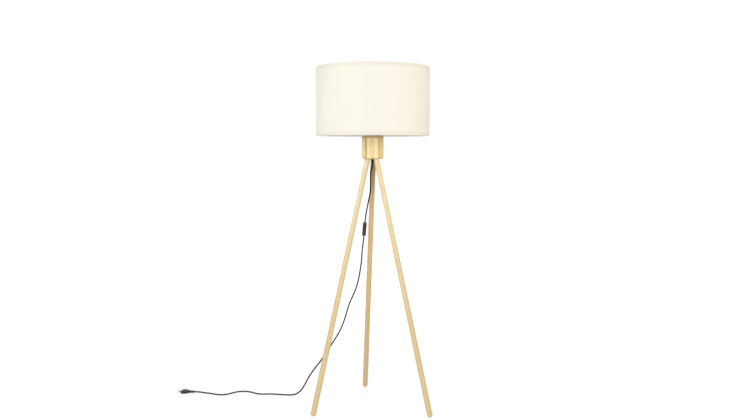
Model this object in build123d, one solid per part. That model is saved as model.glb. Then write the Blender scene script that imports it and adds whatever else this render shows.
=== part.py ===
from build123d import *
from math import atan2, cos, pi, radians, sin, sqrt, tan
import os

# A tripod floor lamp: three splayed dowel legs screwed into a turned hub, a lampholder on the hub,
# a linen drum shade on the lampholder, and a mains lead with an inline switch and a flat plug.
# Millimetres. The origin is on the floor under the hub's axis, +Z is up and -Y is the front.

# Hub
HUB_UNDERSIDE = 1113.0
HUB_DIAMETER = 97.0
HUB_HEIGHT = 103.0
HUB_LOWER_ROUND = 11.0
HUB_UPPER_ROUND = 3.0
HUB_CORD_BORE = 9.4

# Legs: the feet's angles are counted from +X, the radii run from the hub's axis to the leg's axis,
# and each root is turned back from its foot, so that the legs lean a little sideways
LEG_ANGLES = {"rear": 97.4, "left": 209.0, "right": 327.0}
LEG_ROOT_TURN = 14.0
LEG_DIAMETER = 24.0
LEG_ROOT_RADIUS = 24.0
LEG_FOOT_RADIUS = 297.0
LEG_END_ROUND = 10.0
LEG_SOCKET_DEPTH = 16.0
LEG_SOLE_CUT = 0.5

# Hanger bolts in the legs and threaded inserts in the hub
BOLT_DIAMETER = 8.0
BOLT_IN_LEG = 40.0
BOLT_IN_HUB = 14.0
BOLT_POINT = 8.0
INSERT_DIAMETER = 12.0
INSERT_LENGTH = 16.0

# Plate and threaded tube on top of the hub
PLATE_DIAMETER = 62.0
PLATE_THICKNESS = 2.0
PLATE_BOSS_DIAMETER = 16.0
PLATE_BOSS_DEPTH = 6.0
PLATE_SCREW_CIRCLE = 52.0
PLATE_SCREW_DIAMETER = 3.5
PLATE_SCREW_LENGTH = 16.0
PLATE_SCREW_HEAD_DIAMETER = 7.0
PLATE_SCREW_HEAD_HEIGHT = 2.2
PLATE_SCREW_SLOT = 1.0
PLATE_SCREW_COUNT = 3
NIPPLE_DIAMETER = 10.0
NIPPLE_BORE = 7.6
NIPPLE_IN_CAP = 8.0

# Lampholder
HOLDER_CAP_BASE_DIAMETER = 30.0
HOLDER_CAP_DIAMETER = 41.0
HOLDER_CAP_FLARE = 6.0
HOLDER_CAP_HEIGHT = 21.0
HOLDER_CAP_BORE = 33.0
HOLDER_FLANGE_DIAMETER = 47.0
HOLDER_FLANGE_HEIGHT = 3.0
HOLDER_THREAD_DIAMETER = 39.4
HOLDER_THREAD_HEIGHT = 32.0
HOLDER_SHELL_WALL = 2.5
HOLDER_MOUTH_DIAMETER = 29.2
HOLDER_MOUTH_LIP = 2.0
BLOCK_FLANGE_DIAMETER = 36.4
BLOCK_FLANGE_HEIGHT = 2.0
BLOCK_FLOOR_ABOVE_FLANGE = 11.0
BLOCK_LEDGE_HEIGHT = 2.0
BLOCK_LEDGE_WIDTH = 1.2
SLEEVE_BORE = 26.9
SLEEVE_WALL = 0.45
CONTACT_STRIP = 0.5
CONTACT_WIDTH = 4.0
CONTACT_LENGTH = 10.0
CONTACT_RISE = 3.5
CONTACT_PAD_START = 1.0
TERMINAL_OFFSET = 10.0
TERMINAL_SIZE = 5.0
TERMINAL_SCREW_DIAMETER = 2.5
TERMINAL_SCREW_LENGTH = 3.5
TERMINAL_SCREW_HEAD_DIAMETER = 4.4
TERMINAL_SCREW_HEAD = 1.4
SHADE_RING_DIAMETER = 51.0
SHADE_RING_HEIGHT = 8.0
SHADE_RING_FLUTES = 24
SHADE_RING_FLUTE_RADIUS = 1.6
SHADE_RING_FLUTE_DEPTH = 0.8

# Bulb
BULB_TIP_RADIUS = 4.8
BULB_TIP_END_RADIUS = 3.6
BULB_TIP_HEIGHT = 1.5
BULB_INSULATOR_HEIGHT = 3.0
BULB_CAP_DIAMETER = 26.2
BULB_CAP_HEIGHT = 20.0
BULB_CAP_WALL = 0.4
BULB_NECK_RADIUS = 14.2
BULB_BODY_HEIGHT = 38.0
BULB_GLOBE_DIAMETER = 60.0
BULB_GLOBE_BASE_RADIUS = 24.0
BULB_GLOBE_WALL = 1.2

# Shade
SHADE_DIAMETER = 500.0
SHADE_HEIGHT = 300.0
FABRIC_THICKNESS = 0.6
LINER_THICKNESS = 0.4
HEM_TURN = 14.0
HEM_TAIL = 7.0
WIRE_DIAMETER = 4.0
FITTER_RECESS = 28.0
FITTER_DIAMETER = 60.0
FITTER_THICKNESS = 2.0
FITTER_WELD = 1.5
FITTER_ARM_ANGLES = (30.0, 150.0, 270.0)

# Mains lead: the points are where it was chosen to hang and lie
CORD_DIAMETER = 6.5
CORD_SLEEVE_FLANGE_DIAMETER = 13.0
CORD_SLEEVE_FLANGE = 2.0
CORD_SLEEVE_LENGTH = 8.0
CORD_SLEEVE_TIP_DIAMETER = 8.0
CORD_SLEEVE_IN_HUB = 10.0
SHEATH_BELOW_NIPPLE_TOP = 3.0
WIRE_CORE_DIAMETER = 2.2
WIRE_CORE_SPACING = 2.6
WIRE_CORE_STRAIGHT = 1.6
WIRE_CORE_BEND = 1.8
CORD_ARC_SHARE = 0.45
CORD_STRAIGHT_OUT = 12.0
CORD_STRAIGHT_BELOW_SWITCH = 28.0
CORD_UPPER_ROUTE = [
    (-4.6, 1.7, 1077),
    (-9.2, 3.2, 1061),
    (-9.8, 4, 1037),
    (-9.9, 4.8, 1003),
    (-10.2, 5.5, 968),
    (-18.6, 7.5, 928),
    (-27.3, 10.7, 884),
    (-33.6, 13.2, 844.5),
    (-35.25, 13.8, 824.6),
]
CORD_LOWER_ROUTE = [
    (-47.5, 19, 708),
    (-50, 20, 658),
    (-57, 22, 610),
    (-66, 26.5, 561),
    (-81, 31, 514),
    (-108, 42.5, 457),
    (-124, 48, 396),
    (-148, 58.5, 331),
    (-172, 68, 291),
    (-203, 79.5, 241),
    (-238, 93.5, 183),
    (-271, 106, 140),
    (-300, 118.5, 96),
    (-320, 126, 54),
    (-341, 134, 22),
    (-368, 141, 5),
    (-405, 144, 3.3),
    (-446, 154, 3.3),
    (-484, 160.5, 3.3),
    (-519, 156, 3.3),
    (-548, 163, 3.3),
    (-577, 189, 3.3),
    (-613, 203, 3.3),
    (-650, 194, 3.3),
    (-676, 164, 3.3),
    (-702, 145, 3.3),
    (-735, 150, 3.3),
    (-772, 170, 3.3),
    (-803, 177, 4.6),
    (-825, 181, 6.85),
    (-845, 183, 6.85),
]

# Inline switch, hung in line with the lead above it
SWITCH_LENGTH = 60.0
SWITCH_WIDTH = 17.5
SWITCH_THICKNESS = 14.0
SWITCH_ROUND = 3.0
SWITCH_WALL = 2.0
SWITCH_SPLIT_BEHIND_MIDDLE = 1.0
SWITCH_PARTING_LINE = 0.2
SWITCH_CAVITY_LENGTH = 37.0
SWITCH_CORD_ENTRY = 6.0
SWITCH_SCREW_SPACING = 43.0
SWITCH_SCREW_DIAMETER = 2.5
SWITCH_SCREW_LENGTH = 10.0
SWITCH_SCREW_HEAD_DIAMETER = 4.5
SWITCH_SCREW_HEAD = 1.6
SWITCH_SCREW_RECESS = 0.9
SWITCH_SCREW_RECESS_LENGTH = 3.2
SWITCH_SCREW_RECESS_WIDTH = 0.7
ROCKER_RADIUS = 12.0
ROCKER_WIDTH = 10.0
ROCKER_END_HEIGHT = 4.6
ROCKER_MIDDLE_HEIGHT = 3.4
ROCKER_BELOW_PIVOT = 2.5
ROCKER_PIVOT_DEPTH = 3.5
ROCKER_TILT = 7.0
AXLE_DIAMETER = 2.0
AXLE_IN_WALL = 1.0
BRIDGE_LENGTH = 18.0
BRIDGE_WIDTH = 4.0
BRIDGE_THICKNESS = 0.6
SWITCH_TERMINAL_SIZE = 4.0
SWITCH_TERMINAL_HEIGHT = 3.0
SWITCH_TERMINAL_OFFSET = 14.5

# Flat two-pin plug, lying on the floor
PLUG_THICKNESS = 13.7
PLUG_WIDTH = 35.0
PLUG_LENGTH = 36.0
PLUG_SHOULDER_WIDTH = 14.0
PLUG_SHOULDER_LENGTH = 18.0
PLUG_ROUND = 3.0
PLUG_RELIEF_LENGTH = 28.0
PLUG_RELIEF_TIP_DIAMETER = 8.2
PLUG_RELIEF_DIAMETER = 11.0
PIN_DIAMETER = 4.0
PIN_LENGTH = 19.0
PIN_SPACING = 18.6
PIN_SLEEVE_LENGTH = 10.0
PIN_SLEEVE_WALL = 0.5
PIN_IN_BODY = 12.0
PIN_END_ROUND = 1.0

# Clearances
LEG_FIT_GAP = 0.15
THREAD_GAP = 0.05
SEAT_GAP = 0.3
HEM_GAP = 0.8
LINER_GAP = 0.4
LAMINATE_GAP = 0.1
RUNNING_GAP = 0.05

# Levels that several pieces share
HUB_TOP = HUB_UNDERSIDE + HUB_HEIGHT
CAP_BASE = HUB_TOP + PLATE_THICKNESS
NIPPLE_TOP = CAP_BASE + NIPPLE_IN_CAP
SHELL_BASE = CAP_BASE + HOLDER_CAP_HEIGHT
HOLDER_SEAT = SHELL_BASE + HOLDER_FLANGE_HEIGHT
HOLDER_TOP = HOLDER_SEAT + HOLDER_THREAD_HEIGHT
BLOCK_BASE = SHELL_BASE - BLOCK_FLANGE_HEIGHT
BLOCK_FLOOR = SHELL_BASE + BLOCK_FLOOR_ABOVE_FLANGE
BLOCK_LEDGE = BLOCK_FLOOR + BLOCK_LEDGE_HEIGHT
BLOCK_TOP = HOLDER_TOP - HOLDER_MOUTH_LIP - SEAT_GAP
BULB_TIP = BLOCK_FLOOR + CONTACT_RISE
SHADE_BOTTOM = HOLDER_SEAT - FITTER_RECESS
SHADE_TOP = SHADE_BOTTOM + SHADE_HEIGHT
SHADE_RADIUS = SHADE_DIAMETER / 2
HEM_INSIDE = WIRE_DIAMETER / 2 + HEM_GAP
HEM_OUTSIDE = HEM_INSIDE + FABRIC_THICKNESS
WIRE_CIRCLE_RADIUS = SHADE_RADIUS - HEM_OUTSIDE
LOWER_WIRE_LEVEL = SHADE_BOTTOM + HEM_OUTSIDE
UPPER_WIRE_LEVEL = SHADE_TOP - HEM_OUTSIDE
LINER_OUTER_RADIUS = SHADE_RADIUS - FABRIC_THICKNESS - LINER_GAP
LINER_INNER_RADIUS = LINER_OUTER_RADIUS - LINER_THICKNESS
CORD_SLEEVE_TIP = HUB_UNDERSIDE - CORD_SLEEVE_FLANGE - CORD_SLEEVE_LENGTH
SHEATH_END = NIPPLE_TOP - SHEATH_BELOW_NIPPLE_TOP
LEG_RUN = sqrt(
    LEG_FOOT_RADIUS**2
    + LEG_ROOT_RADIUS**2
    - 2 * LEG_FOOT_RADIUS * LEG_ROOT_RADIUS * cos(radians(LEG_ROOT_TURN))
)
LEG_SPLAY = atan2(LEG_RUN, HUB_UNDERSIDE)
UPRIGHT = (Align.CENTER, Align.CENTER, Align.MIN)


def turned(*corners):
    """A solid of revolution about Z through (radius, height) corners."""
    return revolve(make_face(Plane.XZ * Polyline(*corners, close=True)), Axis.Z)


def rod(radius, low, high):
    return Pos(0, 0, low) * Cylinder(radius, high - low, align=UPRIGHT)


def tube(outer, inner, low, high):
    return turned((inner, low), (outer, low), (outer, high), (inner, high))


def around(count, first=0.0):
    """Equally spaced turns about Z."""
    return [Rot(0, 0, first + 360 / count * step) for step in range(count)]


def bar(start, end, radius):
    """A round bar between two points."""
    start = Vector(start)
    run = Vector(end) - start
    return Plane(origin=start, z_dir=run) * Cylinder(radius, run.length, align=UPRIGHT)


def group(solids):
    return Compound(children=[solid.solid() for solid in solids])


def polar(radius, angle, level):
    """A point at an angle about the hub's axis."""
    return Vector(radius * cos(radians(angle)), radius * sin(radians(angle)), level)


def leg_frame(angle):
    """A frame on the leg's axis where it crosses the hub's underside, with +Z up the leg."""
    root = polar(LEG_ROOT_RADIUS, angle - LEG_ROOT_TURN, HUB_UNDERSIDE)
    foot = polar(LEG_FOOT_RADIUS, angle, 0)
    up = root - foot
    return Plane(origin=root, x_dir=Vector(0, 0, 1).cross(up), z_dir=up)


def make_hub():
    hub = rod(HUB_DIAMETER / 2, HUB_UNDERSIDE, HUB_TOP)
    edges = hub.edges().sort_by(Axis.Z)
    hub = fillet(edges[0], HUB_LOWER_ROUND)
    edges = hub.edges().sort_by(Axis.Z)
    hub = fillet(edges[-1], HUB_UPPER_ROUND)
    hub -= rod(HUB_CORD_BORE / 2, HUB_UNDERSIDE, HUB_TOP)
    hub -= rod(PLATE_BOSS_DIAMETER / 2 + SEAT_GAP, HUB_TOP - PLATE_BOSS_DEPTH - SEAT_GAP, HUB_TOP)
    for angle in LEG_ANGLES.values():
        socket = rod(LEG_DIAMETER / 2 + LEG_FIT_GAP, -LEG_DIAMETER, LEG_SOCKET_DEPTH)
        insert_hole = rod(
            INSERT_DIAMETER / 2 + THREAD_GAP, LEG_SOCKET_DEPTH, LEG_SOCKET_DEPTH + INSERT_LENGTH
        )
        hub -= leg_frame(angle) * socket
        hub -= leg_frame(angle) * insert_hole
    for turn in around(PLATE_SCREW_COUNT):
        hub -= turn * plate_screw_shank(THREAD_GAP)
    return hub


def make_leg(angle):
    radius = LEG_DIAMETER / 2
    lowest = -LEG_SOLE_CUT
    end_level = (
        lowest
        + LEG_END_ROUND * (1 - cos(LEG_SPLAY))
        + (radius - LEG_END_ROUND) * sin(LEG_SPLAY)
    )
    below_hub = (HUB_UNDERSIDE - end_level) / cos(LEG_SPLAY)
    dowel = rod(radius, -below_hub, LEG_SOCKET_DEPTH)
    dowel = fillet(dowel.edges().sort_by(Axis.Z)[0], LEG_END_ROUND)
    dowel -= rod(BOLT_DIAMETER / 2 + THREAD_GAP, LEG_SOCKET_DEPTH - BOLT_IN_LEG, LEG_SOCKET_DEPTH)
    return split(leg_frame(angle) * dowel, Plane.XY, keep=Keep.TOP)


def make_leg_bolts():
    radius = BOLT_DIAMETER / 2
    tip = LEG_SOCKET_DEPTH - BOLT_IN_LEG
    bolt = turned(
        (0, tip),
        (radius, tip + BOLT_POINT),
        (radius, LEG_SOCKET_DEPTH + BOLT_IN_HUB),
        (0, LEG_SOCKET_DEPTH + BOLT_IN_HUB),
    )
    return group(leg_frame(angle) * bolt for angle in LEG_ANGLES.values())


def make_leg_inserts():
    insert = tube(
        INSERT_DIAMETER / 2,
        BOLT_DIAMETER / 2 + THREAD_GAP,
        LEG_SOCKET_DEPTH,
        LEG_SOCKET_DEPTH + INSERT_LENGTH,
    )
    return group(leg_frame(angle) * insert for angle in LEG_ANGLES.values())


def plate_screw_shank(gap=0.0):
    """A wood screw's shank below the plate's top face, on the screw circle."""
    shank = rod(PLATE_SCREW_DIAMETER / 2 + gap, CAP_BASE - PLATE_SCREW_LENGTH, CAP_BASE)
    return Pos(PLATE_SCREW_CIRCLE / 2, 0, 0) * shank


def make_nipple_plate():
    plate = rod(PLATE_DIAMETER / 2, HUB_TOP, CAP_BASE)
    plate += rod(PLATE_BOSS_DIAMETER / 2, HUB_TOP - PLATE_BOSS_DEPTH, HUB_TOP)
    plate -= rod(NIPPLE_DIAMETER / 2 + THREAD_GAP, HUB_TOP - PLATE_BOSS_DEPTH, CAP_BASE)
    for turn in around(PLATE_SCREW_COUNT):
        plate -= turn * plate_screw_shank(THREAD_GAP)
    return plate


def make_plate_screws():
    head = rod(PLATE_SCREW_HEAD_DIAMETER / 2, CAP_BASE, CAP_BASE + PLATE_SCREW_HEAD_HEIGHT)
    head = fillet(head.edges().sort_by(Axis.Z)[-1], PLATE_SCREW_HEAD_HEIGHT / 2)
    slot_floor = CAP_BASE + PLATE_SCREW_HEAD_HEIGHT / 2
    slot = Box(PLATE_SCREW_HEAD_DIAMETER, PLATE_SCREW_SLOT, PLATE_SCREW_HEAD_HEIGHT, align=UPRIGHT)
    head -= Pos(0, 0, slot_floor) * slot
    screw = Pos(PLATE_SCREW_CIRCLE / 2, 0, 0) * head + plate_screw_shank()
    return group(turn * screw for turn in around(PLATE_SCREW_COUNT))


def make_nipple():
    return tube(NIPPLE_DIAMETER / 2, NIPPLE_BORE / 2, HUB_TOP - PLATE_BOSS_DEPTH, NIPPLE_TOP)


def make_holder_cap():
    outer = HOLDER_CAP_DIAMETER / 2
    flange = BLOCK_FLANGE_DIAMETER / 2 + SEAT_GAP / 2
    nipple = NIPPLE_DIAMETER / 2 + THREAD_GAP
    return turned(
        (nipple, CAP_BASE),
        (HOLDER_CAP_BASE_DIAMETER / 2, CAP_BASE),
        (outer, CAP_BASE + HOLDER_CAP_FLARE),
        (outer, SHELL_BASE),
        (flange, SHELL_BASE),
        (flange, BLOCK_BASE),
        (HOLDER_CAP_BORE / 2, BLOCK_BASE),
        (HOLDER_CAP_BORE / 2, NIPPLE_TOP),
        (nipple, NIPPLE_TOP),
    )


def shell_bore():
    return HOLDER_THREAD_DIAMETER / 2 - HOLDER_SHELL_WALL


def make_holder_shell():
    thread = HOLDER_THREAD_DIAMETER / 2
    flange = HOLDER_FLANGE_DIAMETER / 2
    lip = HOLDER_TOP - HOLDER_MOUTH_LIP
    return turned(
        (shell_bore(), SHELL_BASE),
        (flange, SHELL_BASE),
        (flange, HOLDER_SEAT),
        (thread, HOLDER_SEAT),
        (thread, HOLDER_TOP),
        (HOLDER_MOUTH_DIAMETER / 2, HOLDER_TOP),
        (HOLDER_MOUTH_DIAMETER / 2, lip),
        (shell_bore(), lip),
    )


def sleeve_outer():
    return SLEEVE_BORE / 2 + SLEEVE_WALL


def make_holder_block():
    outer = shell_bore() - SEAT_GAP
    cup = sleeve_outer() + LAMINATE_GAP
    flange = BLOCK_FLANGE_DIAMETER / 2
    return turned(
        (0, BLOCK_BASE),
        (flange, BLOCK_BASE),
        (flange, SHELL_BASE),
        (outer, SHELL_BASE),
        (outer, BLOCK_TOP),
        (cup, BLOCK_TOP),
        (cup, BLOCK_LEDGE),
        (cup - BLOCK_LEDGE_WIDTH, BLOCK_LEDGE),
        (cup - BLOCK_LEDGE_WIDTH, BLOCK_FLOOR),
        (0, BLOCK_FLOOR),
    )


def make_holder_sleeve():
    return tube(sleeve_outer(), SLEEVE_BORE / 2, BLOCK_LEDGE, BLOCK_TOP)


def make_holder_contact():
    """A brass strip folded back over itself, so that its free end springs against the bulb."""
    half = CONTACT_LENGTH / 2
    fold = half - 2 * CONTACT_STRIP
    profile = Polyline(
        (-half, 0),
        (half, 0),
        (half, CONTACT_STRIP),
        (-CONTACT_PAD_START, CONTACT_RISE),
        (-half, CONTACT_RISE),
        (-half, CONTACT_RISE - CONTACT_STRIP),
        (-CONTACT_PAD_START, CONTACT_RISE - CONTACT_STRIP),
        (fold, CONTACT_STRIP),
        (-half, CONTACT_STRIP),
        close=True,
    )
    strip = extrude(make_face(Plane.XZ * profile), CONTACT_WIDTH / 2, both=True)
    return Pos(0, 0, BLOCK_FLOOR) * strip


def terminal_screw(gap=0.0):
    """A terminal screw's shank, entering its block from the outer side."""
    mouth = TERMINAL_OFFSET + TERMINAL_SIZE / 2
    level = BLOCK_BASE - TERMINAL_SIZE / 2
    return bar(
        (mouth - TERMINAL_SCREW_LENGTH, 0, level), (mouth, 0, level), TERMINAL_SCREW_DIAMETER / 2 + gap
    )


def make_holder_terminals():
    block = Box(TERMINAL_SIZE, TERMINAL_SIZE, TERMINAL_SIZE)
    block = Pos(TERMINAL_OFFSET, 0, BLOCK_BASE - TERMINAL_SIZE / 2) * block
    block -= terminal_screw(THREAD_GAP)
    return group(turn * block for turn in around(2))


def make_terminal_screws():
    mouth = TERMINAL_OFFSET + TERMINAL_SIZE / 2
    level = BLOCK_BASE - TERMINAL_SIZE / 2
    head = bar(
        (mouth, 0, level), (mouth + TERMINAL_SCREW_HEAD, 0, level), TERMINAL_SCREW_HEAD_DIAMETER / 2
    )
    screw = terminal_screw() + head
    return group(turn * screw for turn in around(2))


def make_shade_ring():
    outer = SHADE_RING_DIAMETER / 2
    low = HOLDER_SEAT + FITTER_THICKNESS
    ring = tube(outer, HOLDER_THREAD_DIAMETER / 2 + SEAT_GAP, low, low + SHADE_RING_HEIGHT)
    flute_centre = outer + SHADE_RING_FLUTE_RADIUS - SHADE_RING_FLUTE_DEPTH
    flute = Pos(flute_centre, 0, 0) * rod(SHADE_RING_FLUTE_RADIUS, low, low + SHADE_RING_HEIGHT)
    for turn in around(SHADE_RING_FLUTES):
        ring -= turn * flute
    return ring


def bulb_cap_base():
    return BULB_TIP + BULB_TIP_HEIGHT + BULB_INSULATOR_HEIGHT


def bulb_neck_level():
    return bulb_cap_base() + BULB_CAP_HEIGHT


def globe_base_level():
    return bulb_neck_level() + BULB_BODY_HEIGHT


def make_bulb_contact():
    top = BULB_TIP + BULB_TIP_HEIGHT
    return turned((0, BULB_TIP), (BULB_TIP_END_RADIUS, BULB_TIP), (BULB_TIP_RADIUS, top), (0, top))


def make_bulb_insulator():
    low = BULB_TIP + BULB_TIP_HEIGHT
    return turned(
        (0, low),
        (BULB_TIP_RADIUS, low),
        (BULB_CAP_DIAMETER / 2 - BULB_CAP_WALL, bulb_cap_base()),
        (0, bulb_cap_base()),
    )


def make_bulb_cap():
    outer = BULB_CAP_DIAMETER / 2
    return tube(outer, outer - BULB_CAP_WALL, bulb_cap_base(), bulb_neck_level())


def make_bulb_body():
    plug = BULB_CAP_DIAMETER / 2 - BULB_CAP_WALL - THREAD_GAP
    return turned(
        (0, bulb_cap_base()),
        (plug, bulb_cap_base()),
        (plug, bulb_neck_level()),
        (BULB_NECK_RADIUS, bulb_neck_level()),
        (BULB_GLOBE_BASE_RADIUS, globe_base_level()),
        (0, globe_base_level()),
    )


def make_bulb_globe():
    radius = BULB_GLOBE_DIAMETER / 2
    centre = globe_base_level() + sqrt(radius**2 - BULB_GLOBE_BASE_RADIUS**2)
    globe = Sphere(radius) - Sphere(radius - BULB_GLOBE_WALL)
    base = Plane.XY.offset(globe_base_level())
    return split(Pos(0, 0, centre) * globe, base, keep=Keep.TOP)


def fabric_half():
    """The upper half of the linen drum, rolled over the wire and glued down inside the liner."""
    middle = (SHADE_BOTTOM + SHADE_TOP) / 2
    level = UPPER_WIRE_LEVEL
    tail_outer = LINER_INNER_RADIUS - LINER_GAP
    tail_inner = tail_outer - FABRIC_THICKNESS
    turn_level = level - HEM_TURN
    tail_level = turn_level - HEM_TAIL
    inner_wall = SHADE_RADIUS - FABRIC_THICKNESS
    outside = Line((SHADE_RADIUS, middle), (SHADE_RADIUS, level))
    roll = ThreePointArc(
        (SHADE_RADIUS, level),
        (WIRE_CIRCLE_RADIUS, level + HEM_OUTSIDE),
        (WIRE_CIRCLE_RADIUS - HEM_OUTSIDE, level),
    )
    tail = Polyline(
        (WIRE_CIRCLE_RADIUS - HEM_OUTSIDE, level),
        (tail_inner, turn_level),
        (tail_inner, tail_level),
        (tail_outer, tail_level),
        (tail_outer, turn_level),
        (WIRE_CIRCLE_RADIUS - HEM_INSIDE, level),
    )
    inside_roll = ThreePointArc(
        (WIRE_CIRCLE_RADIUS - HEM_INSIDE, level),
        (WIRE_CIRCLE_RADIUS, level + HEM_INSIDE),
        (inner_wall, level),
    )
    inside = Polyline((inner_wall, level), (inner_wall, middle), (SHADE_RADIUS, middle))
    outline = outside + roll + tail + inside_roll + inside
    return revolve(make_face(Plane.XZ * outline), Axis.Z)


def fitter_arm(angle, radius, short_of_wire):
    """A spider arm from the fitter ring out towards the middle of the lower wire ring."""
    start = Vector(FITTER_DIAMETER / 2 - FITTER_WELD, 0, HOLDER_SEAT + FITTER_THICKNESS / 2)
    wire = Vector(WIRE_CIRCLE_RADIUS, 0, LOWER_WIRE_LEVEL)
    end = wire - (wire - start).normalized() * short_of_wire
    return Rot(0, 0, angle) * bar(start, end, radius)


def make_shade_fabric():
    upper = fabric_half()
    middle = Plane.XY.offset((SHADE_BOTTOM + SHADE_TOP) / 2)
    fabric = upper + mirror(upper, about=middle)
    for angle in FITTER_ARM_ANGLES:
        fabric -= fitter_arm(angle, WIRE_DIAMETER / 2 + SEAT_GAP, 0)
    return fabric


def make_shade_liner():
    clear = WIRE_DIAMETER / 2 + SEAT_GAP
    return tube(
        LINER_OUTER_RADIUS, LINER_INNER_RADIUS, LOWER_WIRE_LEVEL + clear, UPPER_WIRE_LEVEL - clear
    )


def make_wire_ring(level):
    return Pos(0, 0, level) * Torus(WIRE_CIRCLE_RADIUS, WIRE_DIAMETER / 2)


def make_shade_spider():
    hole = HOLDER_THREAD_DIAMETER / 2 + SEAT_GAP
    spider = tube(FITTER_DIAMETER / 2, hole, HOLDER_SEAT, HOLDER_SEAT + FITTER_THICKNESS)
    beside_wire = WIRE_DIAMETER / 2 + LAMINATE_GAP
    for angle in FITTER_ARM_ANGLES:
        spider += fitter_arm(angle, WIRE_DIAMETER / 2, beside_wire)
    return spider


def make_cord_sleeve():
    cord = CORD_DIAMETER / 2 + LAMINATE_GAP
    bore = HUB_CORD_BORE / 2 - LAMINATE_GAP
    flange = CORD_SLEEVE_FLANGE_DIAMETER / 2
    shoulder = HUB_UNDERSIDE - CORD_SLEEVE_FLANGE
    return turned(
        (cord, CORD_SLEEVE_TIP),
        (CORD_SLEEVE_TIP_DIAMETER / 2, CORD_SLEEVE_TIP),
        (bore, shoulder),
        (flange, shoulder),
        (flange, HUB_UNDERSIDE),
        (bore, HUB_UNDERSIDE),
        (bore, HUB_UNDERSIDE + CORD_SLEEVE_IN_HUB),
        (cord, HUB_UNDERSIDE + CORD_SLEEVE_IN_HUB),
    )


def make_hub_cord():
    return rod(CORD_DIAMETER / 2, CORD_SLEEVE_TIP, SHEATH_END)


def make_core_wire(side):
    """One insulated core, from the end of the sheath to its terminal's underside."""
    start = WIRE_CORE_SPACING / 2
    terminal = BLOCK_BASE - TERMINAL_SIZE
    points = [
        (side * start, 0, SHEATH_END),
        (side * start, 0, NIPPLE_TOP + WIRE_CORE_STRAIGHT),
        (side * TERMINAL_OFFSET, 0, terminal - WIRE_CORE_STRAIGHT),
        (side * TERMINAL_OFFSET, 0, terminal),
    ]
    path = FilletPolyline(*points, radius=WIRE_CORE_BEND)
    return sweep(Plane(origin=path @ 0, z_dir=path % 0) * Circle(WIRE_CORE_DIAMETER / 2), path)


def make_cord(name, route):
    """A round cord on straight runs joined by arcs as large as the runs allow."""
    points = [Vector(*point) for point in route]
    radii = []
    for before, here, after in zip(points, points[1:], points[2:]):
        turn = (here - before).get_angle(after - here)
        shorter = min((here - before).length, (after - here).length)
        radii.append(CORD_ARC_SHARE * shorter / tan(radians(turn / 2)))
    path = FilletPolyline(*points, radius=radii)
    cord = sweep(Plane(origin=path @ 0, z_dir=path % 0) * Circle(CORD_DIAMETER / 2), path)
    section = pi * CORD_DIAMETER**2 / 4
    print(name, "length", round(path.length, 1), "radii", [round(radius) for radius in radii])
    print(name, "volume over section times length", round(cord.volume / (section * path.length), 5))
    return cord


def switch_frame():
    """A frame at the middle of the switch: +Z up its length, -Y out of its front."""
    above, end = [Vector(*point) for point in CORD_UPPER_ROUTE[-2:]]
    down = (end - above).normalized()
    middle = end + down * (SWITCH_LENGTH / 2 - SWITCH_CORD_ENTRY)
    side = Vector(0, 1, 0).cross(down * -1)
    return Plane(origin=middle, x_dir=side, z_dir=down * -1)


def upper_route():
    """The route from the strain relief to the switch, straight down at first."""
    start = (0, 0, CORD_SLEEVE_TIP)
    return [start, (0, 0, CORD_SLEEVE_TIP - CORD_STRAIGHT_OUT), *CORD_UPPER_ROUTE]


def lower_route():
    """The route from the switch to the plug, in line with the switch at first."""
    half = SWITCH_LENGTH / 2
    levels = (SWITCH_CORD_ENTRY - half, -CORD_STRAIGHT_BELOW_SWITCH - half)
    inside, below = [switch_frame().from_local_coords(Vector(0, 0, level)) for level in levels]
    return [tuple(inside), tuple(below), *CORD_LOWER_ROUTE]


def rocker_pivot():
    """Where the rocker's axle lies in the switch's thickness."""
    return ROCKER_PIVOT_DEPTH - SWITCH_THICKNESS / 2


def switch_body():
    """Both housing halves as one block, hollowed for the works, the lead, the axle and the screws."""
    body = fillet(Box(SWITCH_WIDTH, SWITCH_THICKNESS, SWITCH_LENGTH).edges(), SWITCH_ROUND)
    inner_width = SWITCH_WIDTH - 2 * SWITCH_WALL
    body -= Box(inner_width, SWITCH_THICKNESS - 2 * SWITCH_WALL, SWITCH_CAVITY_LENGTH)
    entry = CORD_DIAMETER / 2 + LAMINATE_GAP
    half = SWITCH_LENGTH / 2
    body -= rod(entry, half - SWITCH_CORD_ENTRY, half)
    body -= rod(entry, -half, SWITCH_CORD_ENTRY - half)
    window = Box(ROCKER_WIDTH + 2 * SEAT_GAP, SWITCH_THICKNESS, 2 * (ROCKER_RADIUS + SEAT_GAP))
    body -= Pos(0, -SWITCH_THICKNESS / 2, 0) * window
    reach = inner_width / 2 + AXLE_IN_WALL
    pivot = rocker_pivot()
    body -= bar((-reach, pivot, 0), (reach, pivot, 0), AXLE_DIAMETER / 2 + RUNNING_GAP)
    for screw in switch_screw_shapes(THREAD_GAP):
        body -= screw
    return body


def switch_screw_shapes(gap=0.0):
    """Two screws from the back, their heads flush with the rear shell."""
    back = SWITCH_THICKNESS / 2
    shapes = []
    for end in (-1, 1):
        level = end * SWITCH_SCREW_SPACING / 2
        head = bar(
            (0, back, level), (0, back - SWITCH_SCREW_HEAD, level), SWITCH_SCREW_HEAD_DIAMETER / 2 + gap
        )
        shank = bar((0, back, level), (0, back - SWITCH_SCREW_LENGTH, level), SWITCH_SCREW_DIAMETER / 2 + gap)
        shapes.append(head + shank)
    return shapes


def make_switch_shell(side):
    """One housing half. Plane.XZ faces -Y, so the front shell is the half that split() calls the top."""
    towards_front = 1 if side == Keep.TOP else -1
    parting = Plane.XZ.offset(towards_front * SWITCH_PARTING_LINE / 2 - SWITCH_SPLIT_BEHIND_MIDDLE)
    return switch_frame() * split(switch_body(), parting, keep=side)


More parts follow.
